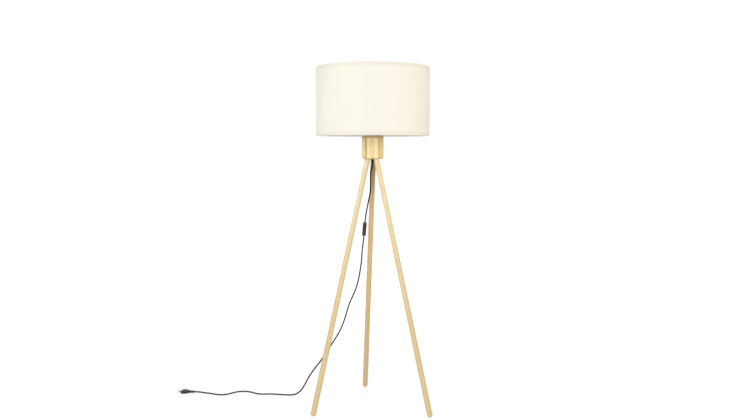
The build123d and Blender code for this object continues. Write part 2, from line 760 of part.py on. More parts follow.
def make_switch_screws():
    """The two screws, with a cross recess in each head."""
    recess_middle = SWITCH_THICKNESS / 2 - SWITCH_SCREW_RECESS / 2
    arm = Box(SWITCH_SCREW_RECESS_LENGTH, SWITCH_SCREW_RECESS, SWITCH_SCREW_RECESS_WIDTH)
    cross = arm + Rot(0, 90, 0) * arm
    screws = []
    for end, screw in zip((-1, 1), switch_screw_shapes()):
        screws.append(screw - Pos(0, recess_middle, end * SWITCH_SCREW_SPACING / 2) * cross)
    return group(switch_frame() * screw for screw in screws)


def rocker_pose():
    """The rocker's frame: its pivot, tipped to the end of its travel."""
    return Pos(0, rocker_pivot(), 0) * Rot(ROCKER_TILT, 0, 0)


def make_switch_rocker():
    """A see-saw cap with round ends about its pivot and a shallow dip across its face."""
    end_reach = sqrt(ROCKER_RADIUS**2 - ROCKER_END_HEIGHT**2)
    foot_reach = sqrt(ROCKER_RADIUS**2 - ROCKER_BELOW_PIVOT**2)
    face = Polyline(
        (-ROCKER_END_HEIGHT, -end_reach), (-ROCKER_MIDDLE_HEIGHT, 0), (-ROCKER_END_HEIGHT, end_reach)
    )
    upper_end = ThreePointArc(
        (-ROCKER_END_HEIGHT, end_reach), (0, ROCKER_RADIUS), (ROCKER_BELOW_PIVOT, foot_reach)
    )
    foot = Line((ROCKER_BELOW_PIVOT, foot_reach), (ROCKER_BELOW_PIVOT, -foot_reach))
    lower_end = ThreePointArc(
        (ROCKER_BELOW_PIVOT, -foot_reach), (0, -ROCKER_RADIUS), (-ROCKER_END_HEIGHT, -end_reach)
    )
    outline = face + upper_end + foot + lower_end
    rocker = extrude(make_face(Plane.YZ * outline), ROCKER_WIDTH / 2, both=True)
    half = ROCKER_WIDTH / 2
    rocker -= bar((-half, 0, 0), (half, 0, 0), AXLE_DIAMETER / 2 + RUNNING_GAP)
    return switch_frame() * (rocker_pose() * rocker)


def make_rocker_axle():
    reach = SWITCH_WIDTH / 2 - SWITCH_WALL + AXLE_IN_WALL
    pivot = rocker_pivot()
    return switch_frame() * bar((-reach, pivot, 0), (reach, pivot, 0), AXLE_DIAMETER / 2)


def make_switch_bridge():
    strip = Box(BRIDGE_WIDTH, BRIDGE_THICKNESS, BRIDGE_LENGTH)
    strip = Pos(0, ROCKER_BELOW_PIVOT + BRIDGE_THICKNESS / 2, 0) * strip
    return switch_frame() * (rocker_pose() * strip)


def make_switch_terminals():
    """A contact post under the bridge's lower end, and a wire terminal at each end of the cavity."""
    floor = SWITCH_THICKNESS / 2 - SWITCH_WALL
    tilt = radians(ROCKER_TILT)
    post_level = -BRIDGE_LENGTH / 2
    under_bridge = rocker_pivot() + (ROCKER_BELOW_PIVOT + BRIDGE_THICKNESS) * cos(tilt)
    under_bridge += BRIDGE_LENGTH / 2 * sin(tilt)
    post_height = floor - under_bridge - LAMINATE_GAP
    size = SWITCH_TERMINAL_SIZE
    post = Pos(0, floor - post_height / 2, post_level) * Box(size, post_height, size / 2)
    solids = [post]
    for end in (-1, 1):
        block = Box(size, SWITCH_TERMINAL_HEIGHT, size)
        level = end * SWITCH_TERMINAL_OFFSET
        solids.append(Pos(0, floor - SWITCH_TERMINAL_HEIGHT / 2, level) * block)
    return group(switch_frame() * solid for solid in solids)


def plug_frame():
    """A frame at the end of the lead: +X on into the plug, +Z up."""
    before, end = [Vector(*point) for point in CORD_LOWER_ROUTE[-2:]]
    return Plane(origin=end, x_dir=end - before, z_dir=(0, 0, 1))


def plug_face():
    return PLUG_RELIEF_LENGTH + PLUG_LENGTH


def make_plug_body():
    shoulder = PLUG_SHOULDER_WIDTH / 2
    half = PLUG_WIDTH / 2
    start = PLUG_RELIEF_LENGTH
    outline = Polyline(
        (start, -shoulder),
        (start + PLUG_SHOULDER_LENGTH, -half),
        (plug_face(), -half),
        (plug_face(), half),
        (start + PLUG_SHOULDER_LENGTH, half),
        (start, shoulder),
        close=True,
    )
    body = extrude(make_face(outline), PLUG_THICKNESS / 2, both=True)
    body = fillet(body.edges(), PLUG_ROUND)
    relief = Cone(
        PLUG_RELIEF_TIP_DIAMETER / 2, PLUG_RELIEF_DIAMETER / 2, start + PLUG_ROUND, align=UPRIGHT
    )
    body += Rot(0, 90, 0) * relief
    for pin in plug_pin_shapes(RUNNING_GAP):
        body -= pin
    return plug_frame() * body


def plug_pin_shapes(gap=0.0):
    """Each pin's core, from inside the body to the end of its insulating sleeve."""
    core = PIN_DIAMETER / 2 - PIN_SLEEVE_WALL + gap
    shapes = []
    for side in (-1, 1):
        across = side * PIN_SPACING / 2
        start = (plug_face() - PIN_IN_BODY, across, 0)
        shapes.append(bar(start, (plug_face() + PIN_SLEEVE_LENGTH, across, 0), core))
    return shapes


def make_plug_pins():
    tips = []
    for side, core in zip((-1, 1), plug_pin_shapes()):
        across = side * PIN_SPACING / 2
        tip = bar(
            (plug_face() + PIN_SLEEVE_LENGTH, across, 0),
            (plug_face() + PIN_LENGTH, across, 0),
            PIN_DIAMETER / 2,
        )
        tip = fillet(tip.edges().sort_by(Axis.X)[-1], PIN_END_ROUND)
        tips.append(plug_frame() * (core + tip))
    return group(tips)


def make_plug_pin_sleeves():
    sleeves = []
    for side in (-1, 1):
        across = side * PIN_SPACING / 2
        start = (plug_face(), across, 0)
        end = (plug_face() + PIN_SLEEVE_LENGTH, across, 0)
        core = PIN_DIAMETER / 2 - PIN_SLEEVE_WALL + RUNNING_GAP
        sleeves.append(plug_frame() * (bar(start, end, PIN_DIAMETER / 2) - bar(start, end, core)))
    return group(sleeves)


pieces = {
    "hub": make_hub(),
    "leg_bolts": make_leg_bolts(),
    "leg_inserts": make_leg_inserts(),
    "nipple_plate": make_nipple_plate(),
    "plate_screws": make_plate_screws(),
    "nipple": make_nipple(),
    "holder_cap": make_holder_cap(),
    "holder_shell": make_holder_shell(),
    "holder_block": make_holder_block(),
    "holder_sleeve": make_holder_sleeve(),
    "holder_contact": make_holder_contact(),
    "holder_terminals": make_holder_terminals(),
    "terminal_screws": make_terminal_screws(),
    "shade_ring": make_shade_ring(),
    "bulb_contact": make_bulb_contact(),
    "bulb_insulator": make_bulb_insulator(),
    "bulb_cap": make_bulb_cap(),
    "bulb_body": make_bulb_body(),
    "bulb_globe": make_bulb_globe(),
    "shade_fabric": make_shade_fabric(),
    "shade_liner": make_shade_liner(),
    "shade_top_ring": make_wire_ring(UPPER_WIRE_LEVEL),
    "shade_bottom_ring": make_wire_ring(LOWER_WIRE_LEVEL),
    "shade_spider": make_shade_spider(),
    "cord_sleeve": make_cord_sleeve(),
    "hub_cord": make_hub_cord(),
    "live_wire": make_core_wire(-1),
    "neutral_wire": make_core_wire(1),
    "cord_upper": make_cord("cord_upper", upper_route()),
    "cord_lower": make_cord("cord_lower", lower_route()),
    "switch_front_shell": make_switch_shell(Keep.TOP),
    "switch_rear_shell": make_switch_shell(Keep.BOTTOM),
    "switch_screws": make_switch_screws(),
    "switch_rocker": make_switch_rocker(),
    "rocker_axle": make_rocker_axle(),
    "switch_bridge": make_switch_bridge(),
    "switch_terminals": make_switch_terminals(),
    "plug_body": make_plug_body(),
    "plug_pins": make_plug_pins(),
    "plug_pin_sleeves": make_plug_pin_sleeves(),
}
for side, angle in LEG_ANGLES.items():
    pieces["leg_" + side] = make_leg(angle)

os.makedirs("parts", exist_ok=True)
for name, piece in pieces.items():
    export_step(piece, f"parts/{name}.step")
frame = switch_frame()
print("switch middle", tuple(frame.origin), "rocker axis", tuple(frame.x_dir))
print("rocker pivot", tuple(frame.from_local_coords(Vector(0, rocker_pivot(), 0))))
print("lower cord starts", lower_route()[:2])
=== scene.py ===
# %% [markdown]
# # A tripod floor lamp, dressed in Blender
# The lamp's solids arrive packed from CAD, in metres: the origin is on the floor under the hub, +Z is up
# and -Y faces the viewer. They are a fixed frame, so nothing here moves or reshapes them. This lesson gives
# each solid a finish, and builds anew the few pieces that a plain solid shows badly: the soft lead, the
# linen cover, and whatever is threaded or ribbed.

from math import cos, degrees, pi, radians, sin, tau

import bpy
import numpy as np
from mathutils import Matrix, Vector


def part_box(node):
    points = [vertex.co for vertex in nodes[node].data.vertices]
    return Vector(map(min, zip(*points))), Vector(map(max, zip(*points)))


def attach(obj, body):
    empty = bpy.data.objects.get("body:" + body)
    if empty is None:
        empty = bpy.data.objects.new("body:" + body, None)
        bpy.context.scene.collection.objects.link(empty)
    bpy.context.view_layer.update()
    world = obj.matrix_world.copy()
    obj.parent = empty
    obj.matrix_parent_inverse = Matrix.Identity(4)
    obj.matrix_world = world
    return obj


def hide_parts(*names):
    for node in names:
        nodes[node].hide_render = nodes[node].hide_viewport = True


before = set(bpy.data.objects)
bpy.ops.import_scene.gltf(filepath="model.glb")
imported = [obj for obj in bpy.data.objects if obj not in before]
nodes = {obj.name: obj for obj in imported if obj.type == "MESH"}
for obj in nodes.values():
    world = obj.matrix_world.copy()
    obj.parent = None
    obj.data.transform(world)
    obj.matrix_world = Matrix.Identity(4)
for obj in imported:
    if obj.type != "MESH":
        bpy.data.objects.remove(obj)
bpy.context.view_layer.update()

# %% [markdown]
# ## Camera
# The photograph was taken a little above the hub, looking slightly down. A camera can be placed by eye, but
# the shade's rims, the hub and the three feet fix it much better: these values put all of them on their
# pixels in a picture 750 pixels wide. Blender wants the lens in millimetres on its 36 mm sensor, so a focal
# length in pixels is scaled by 36 / 750.

# %% Camera
PHOTO_WIDTH = 750
FOCAL_PIXELS = 808.73
SENSOR_WIDTH = 36.0
CAMERA_PLACE = (0.01, -3.5815, 1.1633)
CAMERA_DIP = 4.414

scene = bpy.context.scene
scene.view_settings.view_transform = "Standard"


def add_object(name, data):
    """Gives the data an object at the origin of the scene."""
    thing = bpy.data.objects.new(name, data)
    scene.collection.objects.link(thing)
    return thing


lens = bpy.data.cameras.new("photo_camera")
lens.sensor_width = SENSOR_WIDTH
lens.lens = FOCAL_PIXELS / PHOTO_WIDTH * SENSOR_WIDTH
camera = add_object("photo_camera", lens)
camera.location = CAMERA_PLACE
camera.rotation_euler = (radians(90 - CAMERA_DIP), 0, 0)
scene.camera = camera
print("lens:", round(lens.lens, 2), "mm")

# %% [markdown]
# ## The mains lead
# The lead leaves the hub straight down, hangs in a slack line to the inline switch, passes behind the left
# leg, lands on the floor and wanders off to its plug. A mesh tube would show its straight runs, so each
# stretch is one NURBS curve with the route's points as control points: the curve cuts inside the corners as
# a soft lead does. The order is set after the points are there, or Blender keeps straight runs.

# %% The route's points, in metres
LEAD_DIAMETER = 0.0065
UPPER_ROUTE = [
    (0, 0, 1.103), (0, 0, 1.091), (-0.0046, 0.0017, 1.077), (-0.0092, 0.0032, 1.061),
    (-0.0098, 0.004, 1.037), (-0.0099, 0.0048, 1.003), (-0.0102, 0.0055, 0.968), (-0.0186, 0.0075, 0.928),
    (-0.0273, 0.0107, 0.884), (-0.0336, 0.0132, 0.8445), (-0.03525, 0.0138, 0.8246),
]
LOWER_ROUTE = [
    (-0.03921, 0.01524, 0.77679), (-0.04202, 0.01626, 0.74292), (-0.0475, 0.019, 0.708),
    (-0.05, 0.02, 0.658), (-0.057, 0.022, 0.61), (-0.066, 0.0265, 0.561), (-0.081, 0.031, 0.514),
    (-0.108, 0.0425, 0.457), (-0.124, 0.048, 0.396), (-0.148, 0.0585, 0.331), (-0.172, 0.068, 0.291),
    (-0.203, 0.0795, 0.241), (-0.238, 0.0935, 0.183), (-0.271, 0.106, 0.14), (-0.3, 0.1185, 0.096),
    (-0.32, 0.126, 0.054), (-0.341, 0.134, 0.022), (-0.368, 0.141, 0.005), (-0.405, 0.144, 0.0033),
    (-0.446, 0.154, 0.0033), (-0.484, 0.1605, 0.0033), (-0.519, 0.156, 0.0033), (-0.548, 0.163, 0.0033),
    (-0.577, 0.189, 0.0033), (-0.613, 0.203, 0.0033), (-0.65, 0.194, 0.0033), (-0.676, 0.164, 0.0033),
    (-0.702, 0.145, 0.0033), (-0.735, 0.15, 0.0033), (-0.772, 0.17, 0.0033), (-0.803, 0.177, 0.0046),
    (-0.825, 0.181, 0.00685), (-0.845, 0.183, 0.00685),
]


def make_lead(name, route):
    """One stretch of lead, as a round NURBS curve."""
    curve = bpy.data.curves.new(name, "CURVE")
    curve.dimensions = "3D"
    spline = curve.splines.new("NURBS")
    spline.points.add(len(route) - 1)
    for point, place in zip(spline.points, route):
        point.co = (*place, 1)
    spline.order_u = 3
    spline.use_endpoint_u = True
    spline.resolution_u = 12
    curve.bevel_depth = LEAD_DIAMETER / 2
    curve.bevel_resolution = 4
    curve.use_fill_caps = True
    print(name, "length", round(spline.calc_length(), 3), "m")
    return add_object(name, curve)


lead_upper = make_lead("lead_upper", UPPER_ROUTE)
lead_lower = make_lead("lead_lower", LOWER_ROUTE)

# %% [markdown]
# ## Sums with sockets
# Every finish below is worked out from coordinates, noise and sums. Wiring Math nodes by hand hides the
# idea, so one small class wraps an output socket and lets it be added or multiplied like a number. Anything
# that isn't a sum comes from `node`, which takes the node's type, its settings, and what goes into its
# sockets. The same two classes serve shader trees and geometry trees.

# %% Two small classes for node trees
class Wire:
    """An output socket that can stand in a sum."""

    def __init__(self, tree, socket):
        self.tree = tree
        self.socket = socket

    def math(self, operation, *others):
        return self.tree.math(operation, self, *others)

    def __add__(self, other):
        return self.math("ADD", other)

    def __radd__(self, other):
        return self.tree.math("ADD", other, self)

    def __sub__(self, other):
        return self.math("SUBTRACT", other)

    def __rsub__(self, other):
        return self.tree.math("SUBTRACT", other, self)

    def __mul__(self, other):
        return self.math("MULTIPLY", other)

    def __rmul__(self, other):
        return self.tree.math("MULTIPLY", other, self)

    def __truediv__(self, other):
        return self.math("DIVIDE", other)

    def __pow__(self, other):
        return self.math("POWER", other)


class Tree:
    """A node tree, with one method that adds any node."""

    def __init__(self, node_tree):
        self.node_tree = node_tree

    def node(self, kind, settings=None, inputs=None, output=0):
        made = self.node_tree.nodes.new(kind)
        for name, value in (settings or {}).items():
            if name == "stops":
                self.set_stops(made.color_ramp, value)
            else:
                setattr(made, name, value)
        for socket, value in (inputs or {}).items():
            self.feed(made.inputs[socket], value)
        return Wire(self, made.outputs[output]) if made.outputs else None

    def math(self, operation, *values):
        return self.node("ShaderNodeMath", {"operation": operation}, dict(enumerate(values)))

    def axes(self, vector):
        """The three coordinates of a vector, as separate wires."""
        return [self.node("ShaderNodeSeparateXYZ", inputs={0: vector}, output=axis) for axis in range(3)]

    def vector(self, x, y, z):
        return self.node("ShaderNodeCombineXYZ", inputs={0: x, 1: y, 2: z})

    def feed(self, socket, value):
        if isinstance(value, Wire):
            self.node_tree.links.new(value.socket, socket)
        else:
            socket.default_value = value

    def set_stops(self, ramp, stops):
        while len(ramp.elements) < len(stops):
            ramp.elements.new(1)
        for element, (place, colour) in zip(ramp.elements, stops):
            element.position = place
            element.color = colour


print("Wire:", Wire.__doc__)
print("Tree:", Tree.__doc__)

# %% [markdown]
# ## Finishes in general
# A finish is a Principled shader plus whatever drives its colour, roughness and bump. Numbers that are the
# same all over are set on the shader itself. Patterns read Object coordinates, which are metres here, so a
# noise of scale 800 has grains a little over a millimetre wide. Colours are written as they look on screen,
# from 0 to 255, and turned into the linear values that the shader wants.

# %% Helpers for finishes
def seen(red, green, blue):
    """A screen colour, 0 to 255, as a linear colour with alpha."""
    linear = []
    for channel in (red, green, blue):
        share = channel / 255
        linear.append(share / 12.92 if share <= 0.04045 else ((share + 0.055) / 1.055) ** 2.4)
    return (*linear, 1.0)


class Finish(Tree):
    """A material with one Principled shader."""

    def __init__(self, name, **sockets):
        self.material = bpy.data.materials.new(name)
        self.material.use_nodes = True
        super().__init__(self.material.node_tree)
        self.shader = self.node_tree.nodes["Principled BSDF"]
        self.set(**sockets)

    def place(self):
        return self.node("ShaderNodeTexCoord", output="Object")

    def noise(self, vector, scale, detail=2.0, roughness=0.5):
        inputs = {"Vector": vector, "Scale": scale, "Detail": detail, "Roughness": roughness}
        return self.node("ShaderNodeTexNoise", inputs=inputs)

    def between(self, share, low, high):
        """Maps share so that low gives 0 and high gives 1, with soft ends."""
        inputs = {"Value": share, "From Min": low, "From Max": high}
        return self.node("ShaderNodeMapRange", {"interpolation_type": "SMOOTHSTEP"}, inputs)

    def mix(self, share, first, second):
        return self.node("ShaderNodeMix", {"data_type": "RGBA"}, {0: share, 6: first, 7: second}, 2)

    def bump(self, height, distance, strength):
        inputs = {"Height": height, "Distance": distance, "Strength": strength}
        self.set(Normal=self.node("ShaderNodeBump", inputs=inputs))

    def set(self, **sockets):
        for socket, value in sockets.items():
            self.feed(self.shader.inputs[socket.replace("_", " ")], value)


def dress(finish, *names):
    """Gives CAD nodes a finish. Only the material changes."""
    for name in names:
        nodes[name].data.materials.clear()
        nodes[name].data.materials.append(finish.material)
    print(finish.material.name, "on", ", ".join(names))


print("middle grey in linear light:", round(seen(128, 128, 128)[0], 3))

# %% [markdown]
# ## Pale lacquered wood
# The legs are dowels turned from pale straight-grained stock. On a dowel the yearly rings show as long thin
# streaks, because the cutter runs nearly along them. An image could be wrapped round each leg, but solid
# wood is easier: rings are cylinders about a pith that lies beside the dowel, bent by a slow noise, and the
# leg's surface simply cuts through them. Each leg leans its own way, so a Mapping node first turns the
# leg's axis upright. That axis is measured from the solid's own points. Each leg's tone also fades with its
# height: the front legs grow paler towards the hub. The rear leg's tones are painted shade: it is darker
# all along, and darkest near the hub, where the hub and the shade shadow it.

# %% A solid-wood pattern
RING_PITCH = 0.0042
RING_WANDER = 0.03
RING_WAVER = 0.0016
WANDER_GRAIN = (9.0, 1.7)
WAVER_GRAIN = (60.0, 5.0)
FIBRE_GRAIN = (1500.0, 22.0)
LATE_RISE = 2.5
LATE_STEP = 0.16


def drawn_out(finish, axes, grain, detail=2.0, roughness=0.5):
    """Noise that is long in Z, as everything in a tree is. The grain has a scale across and one along."""
    across, lengthwise = grain
    x, y, z = axes
    drawn = finish.vector(x * across, y * across, z * lengthwise)
    return finish.noise(drawn, 1.0, detail, roughness)


def wood_tones(finish, upright, pith):
    """Two wires from 0 to 1 for coordinates with the grain along Z: late wood, and fine fibre."""
    axes = finish.axes(upright)
    wander = drawn_out(finish, axes, WANDER_GRAIN)
    waver = drawn_out(finish, axes, WAVER_GRAIN)
    fibre = drawn_out(finish, axes, FIBRE_GRAIN, detail=3.0, roughness=0.6)
    across_x = axes[0] + pith[0]
    across_y = axes[1] + pith[1]
    from_pith = (across_x * across_x + across_y * across_y).math("SQRT")
    rings = (from_pith + wander * RING_WANDER + waver * RING_WAVER) / RING_PITCH
    ring_share = rings.math("FRACT")
    late = ring_share ** LATE_RISE * finish.between(1 - ring_share, 0.0, LATE_STEP)
    return late, fibre


print("year rings every", round(RING_PITCH * 1000, 2), "mm")

# %% The legs' long axes, and their piths beside them
LEG_PITHS = {"leg_left": (0.041, 0.018), "leg_right": (-0.026, 0.037), "leg_rear": (0.012, -0.045)}
LEG_END_SPAN = 0.05


def measure_axis(name):
    """A leg's middle, and the turn that stands its long axis upright."""
    mesh = nodes[name].data
    points = np.zeros(len(mesh.vertices) * 3, np.float32)
    mesh.vertices.foreach_get("co", points)
    points = points.reshape(-1, 3).astype(float)
    low, high = points.min(axis=0), points.max(axis=0)
    middle = (low + high) / 2
    low_end = points[points[:, 2] < low[2] + LEG_END_SPAN].mean(axis=0)
    high_end = points[points[:, 2] > high[2] - LEG_END_SPAN].mean(axis=0)
    axis = Vector(high_end - low_end).normalized()
    turn = axis.rotation_difference(Vector((0, 0, 1)))
    print(name, "leans", round(degrees(turn.angle), 1), "degrees")
    return Vector(middle), turn


leg_axes = {name: measure_axis(name) for name in LEG_PITHS}

# %% The three legs
LEG_PALE = seen(232, 206, 154)
LEG_LATE = seen(214, 176, 110)
LEG_TOP = seen(239, 223, 180)
LEG_FLECK = seen(190, 146, 86)
# The rear leg's colours are painted shade: darker overall, with a painted shadow of the hub and shade near
# its top.
REAR_PALE_PAINTED_SHADE = seen(222, 191, 139)
REAR_TOP_PAINTED_SHADOW = seen(124, 95, 54)
LEG_FADE = (0.25, 1.1)
REAR_SHADOW_FADE = (0.85, 1.13)
LEG_FLECK_RANGE = (0.56, 0.75)
LATE_SHARE = 0.55
FLECK_SHARE = 0.28
LEG_ROUGHNESS = 0.36
FIBRE_ROUGHNESS = 0.16
LATE_ROUGHNESS = 0.06
GRAIN_DEPTH = 0.00012
GRAIN_BUMP = 0.6


def make_leg_finish(name, pale, top, fade):
    """A leg's wood: its grain follows the leg, and its tone changes from pale to top over the fade.
    For the rear leg, pale and top are painted shade.
    """
    finish = Finish(name + "_wood", Coat_Weight=0.18, Coat_Roughness=0.3)
    middle, turn = leg_axes[name]
    inputs = {"Vector": finish.place(), "Rotation": turn.to_euler(), "Location": -(turn @ middle)}
    upright = finish.node("ShaderNodeMapping", {"vector_type": "POINT"}, inputs)
    late, fibre = wood_tones(finish, upright, LEG_PITHS[name])
    height = finish.axes(finish.place())[2]
    body = finish.mix(finish.between(height, *fade), pale, top)
    streaked = finish.mix(late * LATE_SHARE, body, LEG_LATE)
    fleck = finish.between(fibre, *LEG_FLECK_RANGE)
    colour = finish.mix(fleck * FLECK_SHARE, streaked, LEG_FLECK)
    roughness = LEG_ROUGHNESS + FIBRE_ROUGHNESS * fibre + LATE_ROUGHNESS * late
    finish.set(Base_Color=colour, Roughness=roughness)
    finish.bump(fibre * 0.5 + late * 0.5, GRAIN_DEPTH, GRAIN_BUMP)
    return finish


dress(make_leg_finish("leg_left", LEG_PALE, LEG_TOP, LEG_FADE), "leg_left")
dress(make_leg_finish("leg_right", LEG_PALE, LEG_TOP, LEG_FADE), "leg_right")
dress(make_leg_finish("leg_rear", REAR_PALE_PAINTED_SHADE, REAR_TOP_PAINTED_SHADOW, REAR_SHADOW_FADE), "leg_rear")

# %% [markdown]
# ## The laminated hub
# The hub shows upright bands of tone across its front. Separate pieces would cut up a solid that is right
# as it is, so the bands are only a colour: a ramp along X gives each band its tone, with steep steps between
# them, and the same solid-wood pattern runs up every band. Near both ends the colour is darkened as painted
# shade: at the top it paints the shade's shadow under the rim, and on the lower round it paints the shade of
# a round that faces the floor.

# %% The hub's strips
hub_low, hub_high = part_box("hub")
HUB_WIDTH = hub_high.x - hub_low.x
HUB_BANDS = [
    (0.000, seen(234, 217, 166)),
    (0.145, seen(237, 217, 158)),
    (0.165, seen(191, 155, 82)),
    (0.235, seen(205, 166, 98)),
    (0.255, seen(255, 238, 186)),
    (0.360, seen(250, 235, 186)),
    (0.380, seen(245, 212, 150)),
    (0.570, seen(248, 213, 150)),
    (0.590, seen(255, 244, 196)),
    (0.715, seen(255, 247, 192)),
    (0.735, seen(228, 196, 124)),
    (0.880, seen(228, 197, 132)),
    (0.900, seen(228, 207, 162)),
    (1.000, seen(226, 206, 160)),
]
HUB_LATE = seen(206, 162, 104)
HUB_FLECK = seen(182, 136, 82)
HUB_FLECK_RANGE = (0.55, 0.75)
HUB_GRAIN_SHARE = 0.3
HUB_ROUGHNESS = 0.32
HUB_PITH = (0.07, 0.16)
BAND_WAVER = 0.012
# Painted shade at the hub's ends: the shade's shadow at the top, and a downward-facing round at the bottom.
HUB_PAINTED_SHADE = seen(186, 154, 102)
TOP_SHADOW_SHARE, TOP_SHADOW_FROM, TOP_SHADOW_TO = 0.9, 0.014, 0.009
LOW_SHADE_SHARE, LOW_SHADE_FROM, LOW_SHADE_TO = 0.35, 0.009, 0.004
print("hub:", round(HUB_WIDTH, 4), "m across")

# %% The hub's wood
hub_wood = Finish("hub_wood", Coat_Weight=0.3, Coat_Roughness=0.22)
hub_place = hub_wood.place()
hub_late, hub_fibre = wood_tones(hub_wood, hub_place, HUB_PITH)
hub_x, _, hub_z = hub_wood.axes(hub_place)
hub_share = hub_x / HUB_WIDTH + 0.5 + (hub_fibre - 0.5) * BAND_WAVER
band_colour = hub_wood.node("ShaderNodeValToRGB", {"stops": HUB_BANDS}, {"Fac": hub_share})
hub_streaked = hub_wood.mix(hub_late * HUB_GRAIN_SHARE, band_colour, HUB_LATE)
hub_fleck = hub_wood.between(hub_fibre, *HUB_FLECK_RANGE)
hub_body = hub_wood.mix(hub_fleck * HUB_GRAIN_SHARE, hub_streaked, HUB_FLECK)
# Painted shadow of the shade under its rim, near the hub's top.
top_painted_shadow = hub_wood.between(hub_z, hub_high.z - TOP_SHADOW_FROM, hub_high.z - TOP_SHADOW_TO)
# low_end is painted shade on the lower round, which faces the floor.
low_end = hub_wood.between(hub_z, hub_low.z + LOW_SHADE_FROM, hub_low.z + LOW_SHADE_TO)
hub_painted_shade = top_painted_shadow * TOP_SHADOW_SHARE + low_end * LOW_SHADE_SHARE
hub_colour = hub_wood.mix(hub_painted_shade, hub_body, HUB_PAINTED_SHADE)
hub_wood.set(Base_Color=hub_colour, Roughness=HUB_ROUGHNESS + FIBRE_ROUGHNESS * hub_fibre)
hub_wood.bump(hub_fibre * 0.6 + hub_late * 0.4, GRAIN_DEPTH, GRAIN_BUMP)
dress(hub_wood, "hub")

# %% [markdown]
# ## The linen cover
# The cover is one strip of linen glued to a film, wrapped once round the wire rings and rolled over them at
# both rims. A cylinder would do from far away, but the rolled rims, the overlap at the back and the notches
# where the spider's arms reach the lower ring are what make a shade look sewn and glued. So the strip is
# laid out as rows along its cross-section and columns round the drum. It keeps its own flat UV map in
# metres, because the weave follows the cloth.

# %% The cover's cross-section
FABRIC = 0.0006
HEM_TURN = 0.014
HEM_TAIL = 0.007
LINER_STACK = 0.0018
ROLL_STEPS = 8
TURN_STEPS = 4
WALL_ROWS = 24

cover_low, cover_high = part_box("shade_fabric")
wire_low, wire_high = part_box("shade_bottom_ring")
SHADE_RADIUS = (cover_high.x - cover_low.x) / 2
WIRE = wire_high.z - wire_low.z
WIRE_CIRCLE = (wire_high.x - wire_low.x) / 2 - WIRE / 2
ROLL = SHADE_RADIUS - WIRE_CIRCLE - FABRIC / 2


def half_section(wire_level, up):
    """The cloth's middle line round one rim, from the wall to the end of the hem's tail."""
    points = []
    for step in range(ROLL_STEPS + 1):
        turn = pi * step / ROLL_STEPS
        points.append((WIRE_CIRCLE + ROLL * cos(turn), wire_level + up * ROLL * sin(turn)))
    tail = SHADE_RADIUS - LINER_STACK - FABRIC / 2
    inside = WIRE_CIRCLE - ROLL
    for step in range(1, TURN_STEPS + 1):
        share = step / TURN_STEPS
        points.append((inside + (tail - inside) * share, wire_level - up * HEM_TURN * share))
    points.append((tail, wire_level - up * (HEM_TURN + HEM_TAIL / 2)))
    points.append((tail, wire_level - up * (HEM_TURN + HEM_TAIL)))
    return points


lower_wire = (wire_low.z + wire_high.z) / 2
upper_wire = cover_high.z - (lower_wire - cover_low.z)
wall_radius = SHADE_RADIUS - FABRIC / 2
wall = [
    (wall_radius, lower_wire + (upper_wire - lower_wire) * row / WALL_ROWS) for row in range(1, WALL_ROWS)
]
section = half_section(lower_wire, -1)[::-1] + wall + half_section(upper_wire, 1)
section = np.array(section)
section_steps = np.linalg.norm(np.diff(section, axis=0), axis=1)
section_run = np.concatenate([[0], np.cumsum(section_steps)])
print("cover cut:", round(section_run[-1], 3), "m tall, rows", len(section))

# %% The strip, wrapped and overlapped
OVERLAP = 0.014
OVERLAP_RISE = 0.006
OVERLAP_LIFT = FABRIC + 0.0001
OVERLAP_COLUMNS = 12
SEAM_ANGLE = 90.0
COLUMNS = 360

tangents = np.gradient(section, axis=0)
tangents /= np.linalg.norm(tangents, axis=1)[:, None]
outward = np.stack([tangents[:, 1], -tangents[:, 0]], axis=1)
strip_length = tau * SHADE_RADIUS + OVERLAP
rise_start = tau * SHADE_RADIUS - OVERLAP_RISE
along = np.concatenate([
    np.linspace(0, rise_start, COLUMNS),
    np.linspace(rise_start, strip_length, OVERLAP_COLUMNS + 1)[1:],
])
rise = np.clip((along - rise_start) / OVERLAP_RISE, 0, 1)
rise = rise * rise * (3 - 2 * rise) * OVERLAP_LIFT
angles = radians(SEAM_ANGLE) + along / SHADE_RADIUS


def cover_points():
    """The strip's points, column by column, and where each lies on the flat cloth."""
    places, flat = [], []
    for angle, lift, run in zip(angles, rise, along):
        for (radius, level), (out, up), rise_run in zip(section, outward, section_run):
            spread = radius + out * lift
            places.append((spread * cos(angle), spread * sin(angle), level + up * lift))
            flat.append((run, rise_run))
    return places, flat


places, flat = cover_points()
print("cover cut:", round(strip_length, 3), "m long, columns", len(along))

# %% Notches for the arms
NOTCH_HALF_ANGLE = 1.3
ARM_ANGLES = (30.0, 150.0, 270.0)


def in_notch(column, row):
    """True where an arm of the spider reaches in through the lower hem."""
    middle_angle = np.degrees(angles[column] + angles[column + 1]) / 2
    away = min(abs((middle_angle - arm + 180) % 360 - 180) for arm in ARM_ANGLES)
    inside = section[row, 0] < WIRE_CIRCLE and section[row + 1, 0] < WIRE_CIRCLE + ROLL / 2
    return away < NOTCH_HALF_ANGLE and inside and section[row, 1] < lower_wire + HEM_TURN * 2


rows = len(section)
faces = []
for column in range(len(along) - 1):
    for row in range(rows - 1):
        if not in_notch(column, row):
            corner = column * rows + row
            faces.append((corner, corner + rows, corner + rows + 1, corner + 1))
print("faces left out for the arms:", (len(along) - 1) * (rows - 1) - len(faces))


# %% The strip as a mesh
def new_mesh(name, points, faces):
    """A smooth mesh from its points and faces."""
    mesh = bpy.data.meshes.new(name)
    mesh.from_pydata(points, [], faces)
    mesh.polygons.foreach_set("use_smooth", [True] * len(faces))
    return mesh


